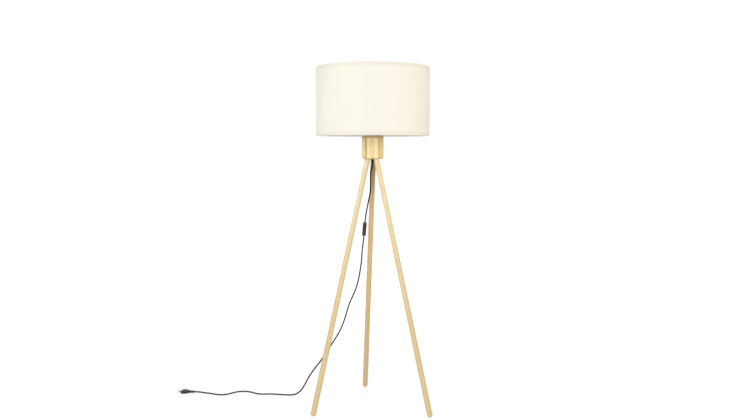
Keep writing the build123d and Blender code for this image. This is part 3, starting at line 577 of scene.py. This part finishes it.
cloth = new_mesh("linen_strip", places, faces)
weave_map = cloth.uv_layers.new(name="weave")
for loop in cloth.loops:
    weave_map.data[loop.index].uv = flat[loop.vertex_index]
strip = add_object("linen_strip", cloth)
print("strip:", len(cloth.vertices), "points,", len(cloth.polygons), "faces")


# %% The cloth's thickness
def baked(source, name):
    """The source object's evaluated shape as a plain mesh piece. The source is removed."""
    shape = source.evaluated_get(bpy.context.evaluated_depsgraph_get())
    mesh = bpy.data.meshes.new_from_object(shape)
    mesh.name = name
    bpy.data.objects.remove(source)
    print(name, "faces", len(mesh.polygons))
    return add_object(name, mesh)


walls = strip.modifiers.new("cloth_thickness", "SOLIDIFY")
walls.thickness = FABRIC
walls.offset = 0
linen_cover = baked(strip, "linen_cover")

# %% [markdown]
# ## Linen
# Linen is a plain weave of uneven yarns: here and there a yarn is thicker, a slub, and it shows as a short
# streak along the yarn. A picture of linen would repeat itself round the drum, so the weave is worked out:
# a chequerboard of rounded yarns, with noise drawn out along both directions for the slubs. Both read the
# cloth's flat UV map, so the yarns run true round the drum and over the rims. Where the cloth is rolled over
# a ring it lies double and lets less light through, so both hems get painted shade: a little darker colour.

# %% The linen's weave
YARN = 0.0011
SLUB_ALONG = 26.0
SLUB_ACROSS = 620.0
UPRIGHT_SLICE = 7.0
LEVEL_SLUBS = (0.55, 0.8)
UPRIGHT_SLUBS = (0.58, 0.82)
MOTTLE = 9.0

linen = Finish("linen", Roughness=0.85, Sheen_Weight=0.5, Sheen_Roughness=0.5, Specular_IOR_Level=0.2)
weave = linen.node("ShaderNodeUVMap", {"uv_map": "weave"})
along_yarns, across_yarns = linen.axes(weave)[:2]
warp = along_yarns / YARN
weft = across_yarns / YARN
parity = (warp.math("FLOOR") + weft.math("FLOOR")) / 2
over = parity.math("FRACT") * 2
warp_height = (warp * pi).math("SINE").math("ABSOLUTE")
weft_height = (weft * pi).math("SINE").math("ABSOLUTE")
yarn_height = over * warp_height + (1 - over) * weft_height
level_place = linen.vector(along_yarns * SLUB_ALONG, across_yarns * SLUB_ACROSS, 0.0)
upright_place = linen.vector(along_yarns * SLUB_ACROSS, across_yarns * SLUB_ALONG, UPRIGHT_SLICE)
slub_level = linen.noise(level_place, 1.0, 3.0)
slub_upright = linen.noise(upright_place, 1.0, 3.0)
slubs = linen.between(slub_level, *LEVEL_SLUBS) + linen.between(slub_upright, *UPRIGHT_SLUBS)
mottle = linen.noise(weave, MOTTLE)
print("yarns in 10 mm:", round(0.01 / YARN, 1))

# %% The linen's tone
LINEN_PALE = seen(250, 247, 238)
LINEN_SHADE = seen(233, 227, 210)
SLUB_SHARE = 0.3
GAP_SHARE = 0.16
MOTTLE_SHARE = 0.12
HEM_PAINTED_SHADE_SHARE = 0.3
HEM_STEP = 0.002
SLUB_HEIGHT = 0.8
YARN_DEPTH = 0.00018
YARN_BUMP = 0.5

linen_z = linen.axes(linen.place())[2]
# The hems are painted shade: darker where the doubled cloth would let less light through.
low_hem_painted_shade = linen.between(linen_z, lower_wire + HEM_TURN, lower_wire + HEM_TURN - HEM_STEP)
high_hem_painted_shade = linen.between(linen_z, upper_wire - HEM_TURN, upper_wire - HEM_TURN + HEM_STEP)
yarn_share = slubs * SLUB_SHARE + (1 - yarn_height) * GAP_SHARE + (mottle - 0.5) * MOTTLE_SHARE
linen_share = yarn_share + (low_hem_painted_shade + high_hem_painted_shade) * HEM_PAINTED_SHADE_SHARE
linen.set(Base_Color=linen.mix(linen_share, LINEN_PALE, LINEN_SHADE))
linen.bump(yarn_height + slubs * SLUB_HEIGHT, YARN_DEPTH, YARN_BUMP)
linen_cover.data.materials.append(linen.material)

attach(linen_cover, "shade")
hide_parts("shade_fabric")
print("linen on", linen_cover.name)

# %% [markdown]
# ## Ridges: threads and ribs
# A screw thread and a row of ribs are the same rule: the wall of a turned piece moves out where a wave of
# its height is high, and for a thread the wave climbs by one pitch per turn. A Screw modifier could sweep
# the one and an Array repeat the other, but a single Geometry Nodes tree does both, with a Climb input of 1
# or 0. The turned pieces mark the wall that gets ridges with an attribute, so their flanges stay smooth.

# %% Geometry trees with named inputs
NUMBER, VECTOR = "NodeSocketFloat", "NodeSocketVector"
SHAPE, MATERIAL = "NodeSocketGeometry", "NodeSocketMaterial"


class ShapeTree(Tree):
    """A geometry tree with a shape, a finish and more inputs, which are set by their identifiers."""

    def __init__(self, name, **kinds):
        super().__init__(bpy.data.node_groups.new(name, "GeometryNodeTree"))
        sockets = self.node_tree.interface
        self.identifiers = {}
        for label, kind in {"Geometry": SHAPE, **kinds, "Finish": MATERIAL}.items():
            added = sockets.new_socket(label, in_out="INPUT", socket_type=kind)
            self.identifiers[label] = added.identifier
        sockets.new_socket("Geometry", in_out="OUTPUT", socket_type=SHAPE)
        self.given = {label: self.node("NodeGroupInput", output=label) for label in self.identifiers}
        print(name, "takes", ", ".join(self.identifiers))

    def end(self, shape):
        """Every geometry tree ends with plain faces in one material."""
        plain = self.node("GeometryNodeRealizeInstances", inputs={"Geometry": shape})
        inputs = {"Geometry": plain, "Material": self.given["Finish"]}
        self.node("NodeGroupOutput", inputs={"Geometry": self.node("GeometryNodeSetMaterial", inputs=inputs)})

    def run(self, source, name, finish, **values):
        """Runs the tree on an object and keeps the result as a plain mesh piece."""
        modifier = source.modifiers.new(self.node_tree.name, "NODES")
        modifier.node_group = self.node_tree
        for label, value in {**values, "Finish": finish.material}.items():
            modifier[self.identifiers[label]] = value
        return baked(source, name)


ridges = ShapeTree("ridges", Pitch=NUMBER, Depth=NUMBER, Climb=NUMBER, Low=NUMBER, High=NUMBER)

# %% A tree that raises ridges on a turned wall
ridge_in = ridges.given
wall_x, wall_y, wall_z = ridges.axes(ridges.node("GeometryNodeInputPosition"))
turns = wall_y.math("ARCTAN2", wall_x) / tau * ridge_in["Climb"]
cycle = wall_z / ridge_in["Pitch"] - turns
wave = 0.5 - 0.5 * (cycle * tau).math("COSINE")
marked = ridges.node("GeometryNodeInputNamedAttribute", {"data_type": "FLOAT"}, {"Name": "ridged"})
rise_in = ((wall_z - ridge_in["Low"]) / ridge_in["Pitch"]).math("MINIMUM", 1.0)
fall_off = ((ridge_in["High"] - wall_z) / ridge_in["Pitch"]).math("MINIMUM", 1.0)
run_out = (rise_in * fall_off).math("MAXIMUM", 0.0)
push = wave * marked * run_out * ridge_in["Depth"]
radial = ridges.vector(wall_x, wall_y, 0.0)
direction = ridges.node("ShaderNodeVectorMath", {"operation": "NORMALIZE"}, {0: radial})
ridge_move = ridges.node("ShaderNodeVectorMath", {"operation": "SCALE"}, {0: direction, "Scale": push})
ridged = {"Geometry": ridge_in["Geometry"], "Offset": ridge_move}
ridges.end(ridges.node("GeometryNodeSetPosition", inputs=ridged))
print("ridge tree nodes:", len(ridges.node_tree.nodes))

# %% Turned pieces
CREASE = radians(40)
WALL_STEP = 0.0003


def turned(name, outline, columns, ridged_rows=()):
    """A ring-shaped mesh turned from a closed (radius, height) outline. Some rows are marked for ridges."""
    count = len(outline)
    points = []
    for column in range(columns):
        angle = tau * column / columns
        points += [(radius * cos(angle), radius * sin(angle), level) for radius, level in outline]
    quads = []
    for column in range(columns):
        here, beside = column * count, (column + 1) % columns * count
        for row in range(count):
            above = (row + 1) % count
            quads.append((here + row, beside + row, beside + above, here + above))
    mesh = new_mesh(name, points, quads)
    marks = [1.0 if row in ridged_rows else 0.0 for row in range(count)] * columns
    mesh.attributes.new("ridged", "FLOAT", "POINT").data.foreach_set("value", marks)
    mesh.set_sharp_from_angle(angle=CREASE)
    return add_object(name, mesh)


def wall_rows(low_radius, high_radius, low, high):
    """Points up a straight or tapering wall, close enough together for ridges."""
    count = max(2, round((high - low) / WALL_STEP))
    shares = [row / count for row in range(count + 1)]
    return [(low_radius + (high_radius - low_radius) * up, low + (high - low) * up) for up in shares]


print("ridged walls have a row every", round(WALL_STEP * 1000, 2), "mm")

# %% [markdown]
# ## Black plastics and the lead's sheath
# The sheath, the switch and the plug are black plastics, the sheath a soft one. Pure black and an even shine
# would lose their shape, so the colour sits a little above black and drifts slightly, and a fine noise
# breaks up the shine as a moulded texture does. One function makes them all, and later the pale ones too.

# %% A finish for plastics
DRIFT = 60.0
SHINE_SPREAD = 0.14
PLASTIC_BUMP = 0.5


def make_plastic(name, tone, lift, roughness, grain, depth, **sockets):
    """A moulded plastic: it drifts between two screen colours, and a fine grain breaks its shine."""
    finish = Finish(name, **sockets)
    place = finish.place()
    drift = finish.noise(place, DRIFT)
    fine = finish.noise(place, grain)
    colour = finish.mix(drift, seen(*tone), seen(*lift))
    finish.set(Base_Color=colour, Roughness=roughness + SHINE_SPREAD * fine)
    finish.bump(fine, depth, PLASTIC_BUMP)
    return finish


print("plastics drift in patches of about", round(1000 / DRIFT), "mm")

# %% Black finishes
sheath = make_plastic("sheath", (12, 12, 13), (20, 20, 22), 0.5, 1800.0, 0.00005, Specular_IOR_Level=0.25)
switch_black = make_plastic("switch_black", (28, 28, 30), (38, 38, 40), 0.42, 2600.0, 0.00006)
rocker_black = make_plastic("rocker_black", (34, 34, 36), (44, 44, 46), 0.24, 900.0, 0.00002)
plug_black = make_plastic("plug_black", (28, 28, 30), (40, 40, 42), 0.45, 2200.0, 0.00006)
holder_black = make_plastic("holder_black", (32, 32, 33), (42, 42, 43), 0.32, 1600.0, 0.00003)
dress(sheath, "hub_cord")
dress(switch_black, "switch_front_shell", "switch_rear_shell")
dress(rocker_black, "switch_rocker")
dress(plug_black, "plug_body", "plug_pin_sleeves")
dress(holder_black, "holder_cap", "shade_ring")

# %% [markdown]
# ## Strain reliefs
# Where the lead leaves the hub and where it enters the plug, a soft ribbed sleeve keeps it from kinking.
# The ribs could be modelled one by one, but the ridge tree raises them all from a plain cone, with Climb at
# 0. The sleeve under the hub replaces its solid. On the plug the cone is moulded on, so a thin ribbed sleeve
# is slipped over it.

# %% The sleeve under the hub
SLEEVE_TIP_RADIUS = 0.004
SLEEVE_ROOT_RADIUS = 0.0046
SLEEVE_FLANGE_RADIUS = 0.0065
SLEEVE_FLANGE = 0.002
SLEEVE_EDGE = 0.0005
SLEEVE_STEP = 0.0002
SLEEVE_GAP = 0.0001
SLEEVE_BORE = LEAD_DIAMETER / 2 + SLEEVE_GAP
SLEEVE_COLUMNS = 40
RIB_PITCH = 0.0026
RIB_DEPTH = 0.0007

sleeve_low, sleeve_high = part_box("cord_sleeve")
hub_underside = hub_low.z
shoulder = hub_underside - SLEEVE_FLANGE
taper = wall_rows(SLEEVE_TIP_RADIUS, SLEEVE_ROOT_RADIUS, sleeve_low.z, shoulder - SLEEVE_STEP)
sleeve_outline = [
    (SLEEVE_BORE, sleeve_low.z),
    *taper,
    (SLEEVE_FLANGE_RADIUS - SLEEVE_EDGE, shoulder),
    (SLEEVE_FLANGE_RADIUS, shoulder + SLEEVE_EDGE),
    (SLEEVE_FLANGE_RADIUS, hub_underside - SLEEVE_GAP),
    (SLEEVE_ROOT_RADIUS, hub_underside),
    (SLEEVE_ROOT_RADIUS, sleeve_high.z),
    (SLEEVE_BORE, sleeve_high.z),
]
sleeve_blank = turned("sleeve_blank", sleeve_outline, SLEEVE_COLUMNS, range(1, len(taper) + 1))
relief_sleeve = ridges.run(
    sleeve_blank, "relief_sleeve", sheath,
    Pitch=RIB_PITCH, Depth=RIB_DEPTH, Climb=0.0, Low=sleeve_low.z, High=shoulder,
)
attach(relief_sleeve, "stand")
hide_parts("cord_sleeve")


# %% Frames at the switch and the plug
def frame_matrix(origin, x_axis, z_axis):
    """A matrix that carries a piece made at the origin to a frame on the lamp."""
    z_axis = Vector(z_axis).normalized()
    y_axis = z_axis.cross(Vector(x_axis)).normalized()
    turn = Matrix((y_axis.cross(z_axis), y_axis, z_axis)).transposed()
    return Matrix.Translation(origin) @ turn.to_4x4()


SWITCH_LENGTH = 0.06
SWITCH_LEAD_ENTRY = 0.006
hang = (Vector(UPPER_ROUTE[-1]) - Vector(UPPER_ROUTE[-2])).normalized()
switch_middle = Vector(UPPER_ROUTE[-1]) + hang * (SWITCH_LENGTH / 2 - SWITCH_LEAD_ENTRY)
SWITCH_FRAME = frame_matrix(switch_middle, Vector((0, 1, 0)).cross(-hang), -hang)
plug_run = (Vector(LOWER_ROUTE[-1]) - Vector(LOWER_ROUTE[-2])).normalized()
PLUG_FRAME = frame_matrix(Vector(LOWER_ROUTE[-1]), Vector((0, 0, -1)), plug_run)
print("switch middle", [round(value, 4) for value in switch_middle])
print("plug runs along", [round(value, 3) for value in plug_run])

# %% The sleeve on the plug
PLUG_CONE_LENGTH = 0.028
PLUG_TIP_RADIUS = 0.0041
PLUG_ROOT_RADIUS = 0.0055
PLUG_CONE_BARE_TIP = 0.0008
PLUG_CONE_BARE_ROOT = 0.001
PLUG_SLEEVE = 0.00025
PLUG_SLEEVE_GAP = 0.00005
PLUG_RIB_PITCH = 0.0036
PLUG_RIB_DEPTH = 0.0006


def cone_radius(run):
    """The moulded cone's radius, so far along it from its tip."""
    return PLUG_TIP_RADIUS + (PLUG_ROOT_RADIUS - PLUG_TIP_RADIUS) * run / PLUG_CONE_LENGTH


cone_start, cone_end = PLUG_CONE_BARE_TIP, PLUG_CONE_LENGTH - PLUG_CONE_BARE_ROOT
plug_taper = wall_rows(
    cone_radius(cone_start) + PLUG_SLEEVE, cone_radius(cone_end) + PLUG_SLEEVE, cone_start, cone_end
)
plug_bore = [(cone_radius(run) + PLUG_SLEEVE_GAP, run) for run in (cone_end, cone_start)]
plug_blank = turned("plug_sleeve_blank", plug_taper + plug_bore, SLEEVE_COLUMNS, range(len(plug_taper)))
plug_sleeve = ridges.run(
    plug_blank, "plug_sleeve", plug_black,
    Pitch=PLUG_RIB_PITCH, Depth=PLUG_RIB_DEPTH, Climb=0.0, Low=cone_start, High=cone_end,
)
plug_sleeve.data.transform(PLUG_FRAME)
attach(plug_sleeve, "stand")

# %% [markdown]
# ## Grip ribs
# Fingers hold the switch and the plug by small raised bars. Each bar is the same few faces, so Geometry
# Nodes puts one on every point of a handful of points. The points are laid out in the switch's or plug's
# own frame, and the finished mesh is carried to its place.

# %% A tree that puts a bar on every point
bars = ShapeTree("grip_bars", Length=NUMBER, Radius=NUMBER, Turn=VECTOR)
bar_in = bars.given
ball = bars.node("GeometryNodeMeshUVSphere", inputs={"Segments": 10, "Rings": 8, "Radius": 1.0})
ball_place = bars.node("GeometryNodeInputPosition")
half_run = bar_in["Length"] / 2 - bar_in["Radius"]
stretch = bars.vector(0.0, 0.0, bars.axes(ball_place)[2].math("SIGN") * half_run)
small = bars.node("ShaderNodeVectorMath", {"operation": "SCALE"}, {0: ball_place, "Scale": bar_in["Radius"]})
bar_place = bars.node("ShaderNodeVectorMath", {"operation": "ADD"}, {0: small, 1: stretch})
bar = bars.node("GeometryNodeSetPosition", inputs={"Geometry": ball, "Position": bar_place})
smooth_bar = bars.node("GeometryNodeSetShadeSmooth", inputs={"Geometry": bar})
copied = {"Points": bar_in["Geometry"], "Instance": smooth_bar, "Rotation": bar_in["Turn"]}
bars.end(bars.node("GeometryNodeInstanceOnPoints", inputs=copied))
print("bar tree nodes:", len(bars.node_tree.nodes))


# %% Ribs on the switch
def spaced(first, pitch, count):
    """Evenly spaced places, from the first one on."""
    return [first + pitch * step for step in range(count)]


def grip_bars(name, points, length, radius, turn, finish, carry):
    """Bars on points of a frame, carried to the lamp as one plain mesh."""
    source = add_object(name + "_points", new_mesh(name + "_points", points, []))
    piece = bars.run(source, name, finish, Length=length, Radius=radius, Turn=turn)
    piece.data.transform(carry)
    return piece


SWITCH_HALF_WIDTH = 0.00875
SWITCH_RIB_SET = -0.001
SWITCH_RIB_LENGTH = 0.0075
SWITCH_RIB_RADIUS = 0.00045
SWITCH_RIB_LEVELS = spaced(0.0135, 0.002, 5)

switch_points = [
    (side * SWITCH_HALF_WIDTH, SWITCH_RIB_SET, end * level)
    for side in (-1, 1)
    for end in (-1, 1)
    for level in SWITCH_RIB_LEVELS
]
switch_ribs = grip_bars(
    "switch_ribs", switch_points, SWITCH_RIB_LENGTH, SWITCH_RIB_RADIUS, (pi / 2, 0.0, 0.0), switch_black,
    SWITCH_FRAME,
)
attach(switch_ribs, "stand")

# %% Ribs on the rocker
ROCKER_PIVOT_Y = -0.0035
ROCKER_TILT = radians(7)
ROCKER_MIDDLE, ROCKER_END, ROCKER_REACH = 0.0034, 0.0046, 0.01108
ROCKER_RIB_LENGTH = 0.0064
ROCKER_RIB_RADIUS = 0.0003
ROCKER_RIB_RUNS = spaced(-0.0088, 0.0016, 3) + spaced(0.0056, 0.0016, 3)

rocker_tip = Matrix.Translation((0, ROCKER_PIVOT_Y, 0)) @ Matrix.Rotation(ROCKER_TILT, 4, "X")
rocker_points = []
for run in ROCKER_RIB_RUNS:
    face = ROCKER_MIDDLE + (ROCKER_END - ROCKER_MIDDLE) * abs(run) / ROCKER_REACH
    rocker_points.append((0, -face, run))
rocker_ribs = grip_bars(
    "rocker_ribs", rocker_points, ROCKER_RIB_LENGTH, ROCKER_RIB_RADIUS, (0.0, pi / 2, 0.0), rocker_black,
    SWITCH_FRAME @ rocker_tip,
)
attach(rocker_ribs, "rocker")

# %% Ribs on the plug
PLUG_HALF_WIDTH = 0.0175
PLUG_BAR_LENGTH = 0.008
PLUG_BAR_RADIUS = 0.0005
PLUG_BAR_RUNS = spaced(0.049, 0.0025, 4)

plug_points = [(0, side * PLUG_HALF_WIDTH, run) for side in (-1, 1) for run in PLUG_BAR_RUNS]
plug_ribs = grip_bars(
    "plug_ribs", plug_points, PLUG_BAR_LENGTH, PLUG_BAR_RADIUS, (0.0, pi / 2, 0.0), plug_black, PLUG_FRAME
)
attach(plug_ribs, "stand")

# %% [markdown]
# ## Metals, paint and pale plastics
# Most of these sit inside the shade, the hub or the switch: plated steel, brass contacts, painted wire, the
# liner's film, the bulb and the two coloured cores. An even metal looks like grey paint, and a picture of
# metal shows the room that it was taken in. So a metal here has fine level scratches, as turning and plating
# leave, and a slow stain that dulls it in patches. The rest come from the function for plastics.

# %% Metals
SCRATCH_ROUND = 90.0
SCRATCH_UP = 2600.0
SCRATCH_SPREAD = 0.2
SCRATCH_DEPTH = 0.00003
SCRATCH_BUMP = 0.4
STAIN = 45.0
STAIN_SHARE = 0.5
DULLED = 0.72


def make_metal(name, colour, roughness):
    """A metal of a screen colour, with fine scratches round it and patches of stain."""
    finish = Finish(name, Metallic=1.0)
    x, y, z = finish.axes(finish.place())
    drawn = finish.vector(x * SCRATCH_ROUND, y * SCRATCH_ROUND, z * SCRATCH_UP)
    scratches = finish.noise(drawn, 1.0, 3.0)
    stain = finish.noise(finish.place(), STAIN)
    bright = seen(*colour)
    dull = (*[DULLED * channel for channel in bright[:3]], 1.0)
    tone = finish.mix(stain * STAIN_SHARE, bright, dull)
    finish.set(Base_Color=tone, Roughness=roughness + SCRATCH_SPREAD * scratches)
    finish.bump(scratches, SCRATCH_DEPTH, SCRATCH_BUMP)
    return finish


steel = make_metal("steel", (206, 206, 206), 0.26)
brass = make_metal("brass", (226, 194, 120), 0.24)
bulb_metal = make_metal("bulb_metal", (214, 214, 216), 0.2)
dress(steel, "leg_bolts", "nipple_plate", "plate_screws", "nipple", "terminal_screws", "switch_screws",
      "rocker_axle")
dress(brass, "leg_inserts", "holder_sleeve", "holder_contact", "holder_terminals", "switch_bridge",
      "switch_terminals", "bulb_contact", "plug_pins")

# %% Paint and plastics inside the lamp
wire_paint = make_plastic("wire_paint", (240, 240, 236), (228, 228, 222), 0.38, 700.0, 0.00006)
liner_film = make_plastic("liner_film", (248, 247, 242), (240, 238, 230), 0.34, 300.0, 0.00004)
block_white = make_plastic("block_white", (236, 234, 226), (222, 218, 206), 0.4, 900.0, 0.00004)
bulb_white = make_plastic("bulb_white", (244, 244, 242), (236, 236, 232), 0.22, 600.0, 0.00002)
bulb_opal = make_plastic("bulb_opal", (248, 247, 243), (241, 240, 234), 0.3, 500.0, 0.00002)
insulator_black = make_plastic("insulator_black", (24, 24, 26), (36, 36, 38), 0.16, 500.0, 0.00002)
live_brown = make_plastic("live_brown", (112, 66, 40), (126, 76, 48), 0.4, 1500.0, 0.00003)
neutral_blue = make_plastic("neutral_blue", (40, 84, 150), (52, 98, 164), 0.4, 1500.0, 0.00003)
dress(wire_paint, "shade_top_ring", "shade_bottom_ring", "shade_spider")
dress(liner_film, "shade_liner")
dress(block_white, "holder_block")
dress(bulb_opal, "bulb_globe")
dress(insulator_black, "bulb_insulator")
dress(live_brown, "live_wire")
dress(neutral_blue, "neutral_wire")

# %% [markdown]
# ## The lampholder's thread and the bulb's cap
# The shade is clamped on the lampholder's outer thread by the fluted ring, and the bulb has a rolled screw
# cap. Plain cylinders would hide how they hold. Both are turned walls with a climbing ridge, so both use the
# ridge tree with Climb at 1. The crests stay at the radius of the solids that they replace.

# %% The lampholder's threaded shell
TURNED_COLUMNS = 72
THREAD_RADIUS = 0.0197
THREAD_PITCH = 0.0034
THREAD_DEPTH = 0.0009
SHELL_WALL = 0.0025
MOUTH_RADIUS = 0.0146
MOUTH_LIP = 0.002
FLANGE_HEIGHT = 0.003
EDGE = 0.0004

shell_low, shell_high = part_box("holder_shell")
flange = (shell_high.x - shell_low.x) / 2
seat = shell_low.z + FLANGE_HEIGHT
bore = THREAD_RADIUS - SHELL_WALL
root = THREAD_RADIUS - THREAD_DEPTH
thread_wall = wall_rows(root, root, seat, shell_high.z - EDGE)
below_thread = [
    (bore, shell_low.z),
    (flange - EDGE, shell_low.z),
    (flange, shell_low.z + EDGE),
    (flange, seat - EDGE),
    (flange - EDGE, seat),
]
mouth = [
    (root - EDGE, shell_high.z),
    (MOUTH_RADIUS, shell_high.z),
    (MOUTH_RADIUS, shell_high.z - MOUTH_LIP),
    (bore, shell_high.z - MOUTH_LIP),
]
thread_rows = range(len(below_thread), len(below_thread) + len(thread_wall))
shell_blank = turned("shell_blank", below_thread + thread_wall + mouth, TURNED_COLUMNS, thread_rows)
holder_thread = ridges.run(
    shell_blank, "holder_thread", holder_black,
    Pitch=THREAD_PITCH, Depth=THREAD_DEPTH, Climb=1.0, Low=seat, High=shell_high.z,
)
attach(holder_thread, "stand")
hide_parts("holder_shell")

# %% The bulb's rolled cap
CAP_PITCH = 0.00362
CAP_DEPTH = 0.0009
CAP_WALL = 0.0003

cap_low, cap_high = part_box("bulb_cap")
cap_root = (cap_high.x - cap_low.x) / 2 - CAP_DEPTH
outer_wall = wall_rows(cap_root, cap_root, cap_low.z, cap_high.z)
inner_wall = [(radius - CAP_WALL, level) for radius, level in reversed(outer_wall)]
cap_outline = outer_wall + inner_wall
cap_blank = turned("cap_blank", cap_outline, TURNED_COLUMNS, range(len(cap_outline)))
bulb_thread = ridges.run(
    cap_blank, "bulb_thread", bulb_metal,
    Pitch=CAP_PITCH, Depth=CAP_DEPTH, Climb=1.0, Low=cap_low.z, High=cap_high.z,
)
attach(bulb_thread, "bulb")
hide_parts("bulb_cap")

# %% [markdown]
# ## The bulb's housing
# Between its cap and its globe the bulb has a white housing that widens in a slight swell. The solid is a
# plain cone, which is right for size and stiff to look at. Here the wall follows part of a sine wave between
# the same two radii, and is turned like the other round pieces.

# %% The housing, turned
NECK_RADIUS = 0.0142
HOUSING_ROWS = 16
HOUSING_BORE = 0.004
HOUSING_EDGE = 0.001
HOUSING_SINK = 0.0002
SWELL_SHARE = 0.65
SWELL_POWER = 1.6

body_low, body_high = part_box("bulb_body")
housing_wide = (body_high.x - body_low.x) / 2
neck_level = cap_high.z - HOUSING_SINK
housing = [(HOUSING_BORE, neck_level), (NECK_RADIUS - HOUSING_EDGE, neck_level)]
for row in range(HOUSING_ROWS + 1):
    up = row / HOUSING_ROWS
    swell = (1 - SWELL_SHARE) * up + SWELL_SHARE * sin(up * pi / 2) ** SWELL_POWER
    level = cap_high.z + HOUSING_EDGE + (body_high.z - cap_high.z - 2 * HOUSING_EDGE) * up
    housing.append((NECK_RADIUS + (housing_wide - NECK_RADIUS) * swell, level))
housing += [(housing_wide - HOUSING_EDGE, body_high.z), (HOUSING_BORE, body_high.z)]
bulb_housing = turned("bulb_housing", housing, TURNED_COLUMNS)
bulb_housing.data.materials.append(bulb_white.material)
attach(bulb_housing, "bulb")
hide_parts("bulb_body")
print("housing:", round(housing_wide * 2, 4), "m across, faces", len(bulb_housing.data.polygons))

# %% [markdown] ## The lead, dressed A lead has a real length and something on each end. The upper
# stretch ends in the switch, and the lower one starts there and ends in the plug.

# %% The two stretches of lead
for lead, solid in ((lead_upper, "cord_upper"), (lead_lower, "cord_lower")):
    lead.data.materials.append(sheath.material)
    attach(lead, "stand")
    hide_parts(solid)

# %% [markdown]
# ## Floor and light
# The lamp stands in front of white, with hardly a shadow. A plain floor would look grey. The lamps light it
# to about 0.7, and where the camera looks at it, part of that is swapped for white light, just enough to
# bring the open floor to 1. What is left keeps a soft trace of the shadow. Further out the trace fades away,
# and the floor meets the white world without an edge. One broad soft lamp stands in front, a little to the
# left. Linen lets light through, so a linen drum hardly darkens towards its sides: two small side lamps with
# grids stand in for that. A broad lamp high behind lights the back and the top, and the world fills the rest.

# %% Floor
FLOOR_SIZE = 60.0
FLOOR_PALE = (0.9, 0.9, 0.9, 1)
LIT_FLOOR = 0.7
SHADOW_SHARE = 0.4
SHADOW_FADE = (0.6, 3.0)
FLOOR_WHITE = (1 - SHADOW_SHARE * LIT_FLOOR) / (1 - SHADOW_SHARE)


def looked_at(tree):
    """1 for whatever the camera sees directly, in a reflection or through glass, and 0 for other light."""
    sights = ("Is Camera Ray", "Is Glossy Ray", "Is Transmission Ray")
    direct, mirrored, passed = [tree.node("ShaderNodeLightPath", output=sight) for sight in sights]
    return direct.math("MAXIMUM", mirrored).math("MAXIMUM", passed)


reach = FLOOR_SIZE / 2
floor_corners = [(-reach, -reach, 0), (reach, -reach, 0), (reach, reach, 0), (-reach, reach, 0)]
floor = add_object("floor", new_mesh("floor", floor_corners, [(0, 1, 2, 3)]))
floor_finish = Finish("floor_white", Base_Color=FLOOR_PALE, Roughness=0.9, Specular_IOR_Level=0.1)
floor_x, floor_y = floor_finish.axes(floor_finish.place())[:2]
far = floor_finish.between(floor_x * floor_x + floor_y * floor_y, *SHADOW_FADE)
white_share = looked_at(floor_finish) * (1 - SHADOW_SHARE * (1 - far))
white_light = floor_finish.node("ShaderNodeEmission", inputs={"Strength": FLOOR_WHITE})
lit_floor = Wire(floor_finish, floor_finish.shader.outputs["BSDF"])
floor_mix = floor_finish.node("ShaderNodeMixShader", inputs={0: white_share, 1: lit_floor, 2: white_light})
floor_finish.feed(floor_finish.node_tree.nodes["Material Output"].inputs["Surface"], floor_mix)
floor.data.materials.append(floor_finish.material)
print("white light on the seen floor:", round(FLOOR_WHITE, 3))

# %% World and lamps
WORLD_STRENGTH = 0.5
SEEN_WHITE = 1.05

world = bpy.data.worlds.new("white_room")
scene.world = world
world.use_nodes = True
world_tree = Tree(world.node_tree)
shown = looked_at(world_tree)
background = world.node_tree.nodes["Background"]
background.inputs["Color"].default_value = (1, 1, 1, 1)
world_tree.feed(background.inputs["Strength"], SEEN_WHITE * shown + WORLD_STRENGTH * (1 - shown))


def soft_light(name, place, target, size, power, colour, spread=pi):
    """A broad square lamp that faces a point. A small spread works as a grid on its front does."""
    data = bpy.data.lights.new(name, "AREA")
    data.size = size
    data.energy = power
    data.color = colour
    data.spread = spread
    lamp = add_object(name, data)
    lamp.location = place
    lamp.rotation_euler = (Vector(target) - Vector(place)).to_track_quat("-Z", "Y").to_euler()


soft_light(
    "key", place=(-0.3, -4.3, 2.05), target=(0, 0, 1.0), size=2.0, power=77.5, colour=(1.0, 0.985, 0.98)
)
soft_light(
    "right_fill", place=(3.3, -0.2, 1.8), target=(0, 0, 1.36), size=0.8, power=0.85,
    colour=(1.0, 0.88, 0.36), spread=radians(30),
)
soft_light(
    "left_fill", place=(-3.3, -0.2, 1.8), target=(0, 0, 1.25), size=0.8, power=0.95,
    colour=(1.0, 0.97, 0.7), spread=radians(36),
)
soft_light(
    "back", place=(0.4, 3.4, 3.4), target=(0, 0, 1.1), size=2.0, power=60, colour=(1.0, 0.985, 0.97)
)
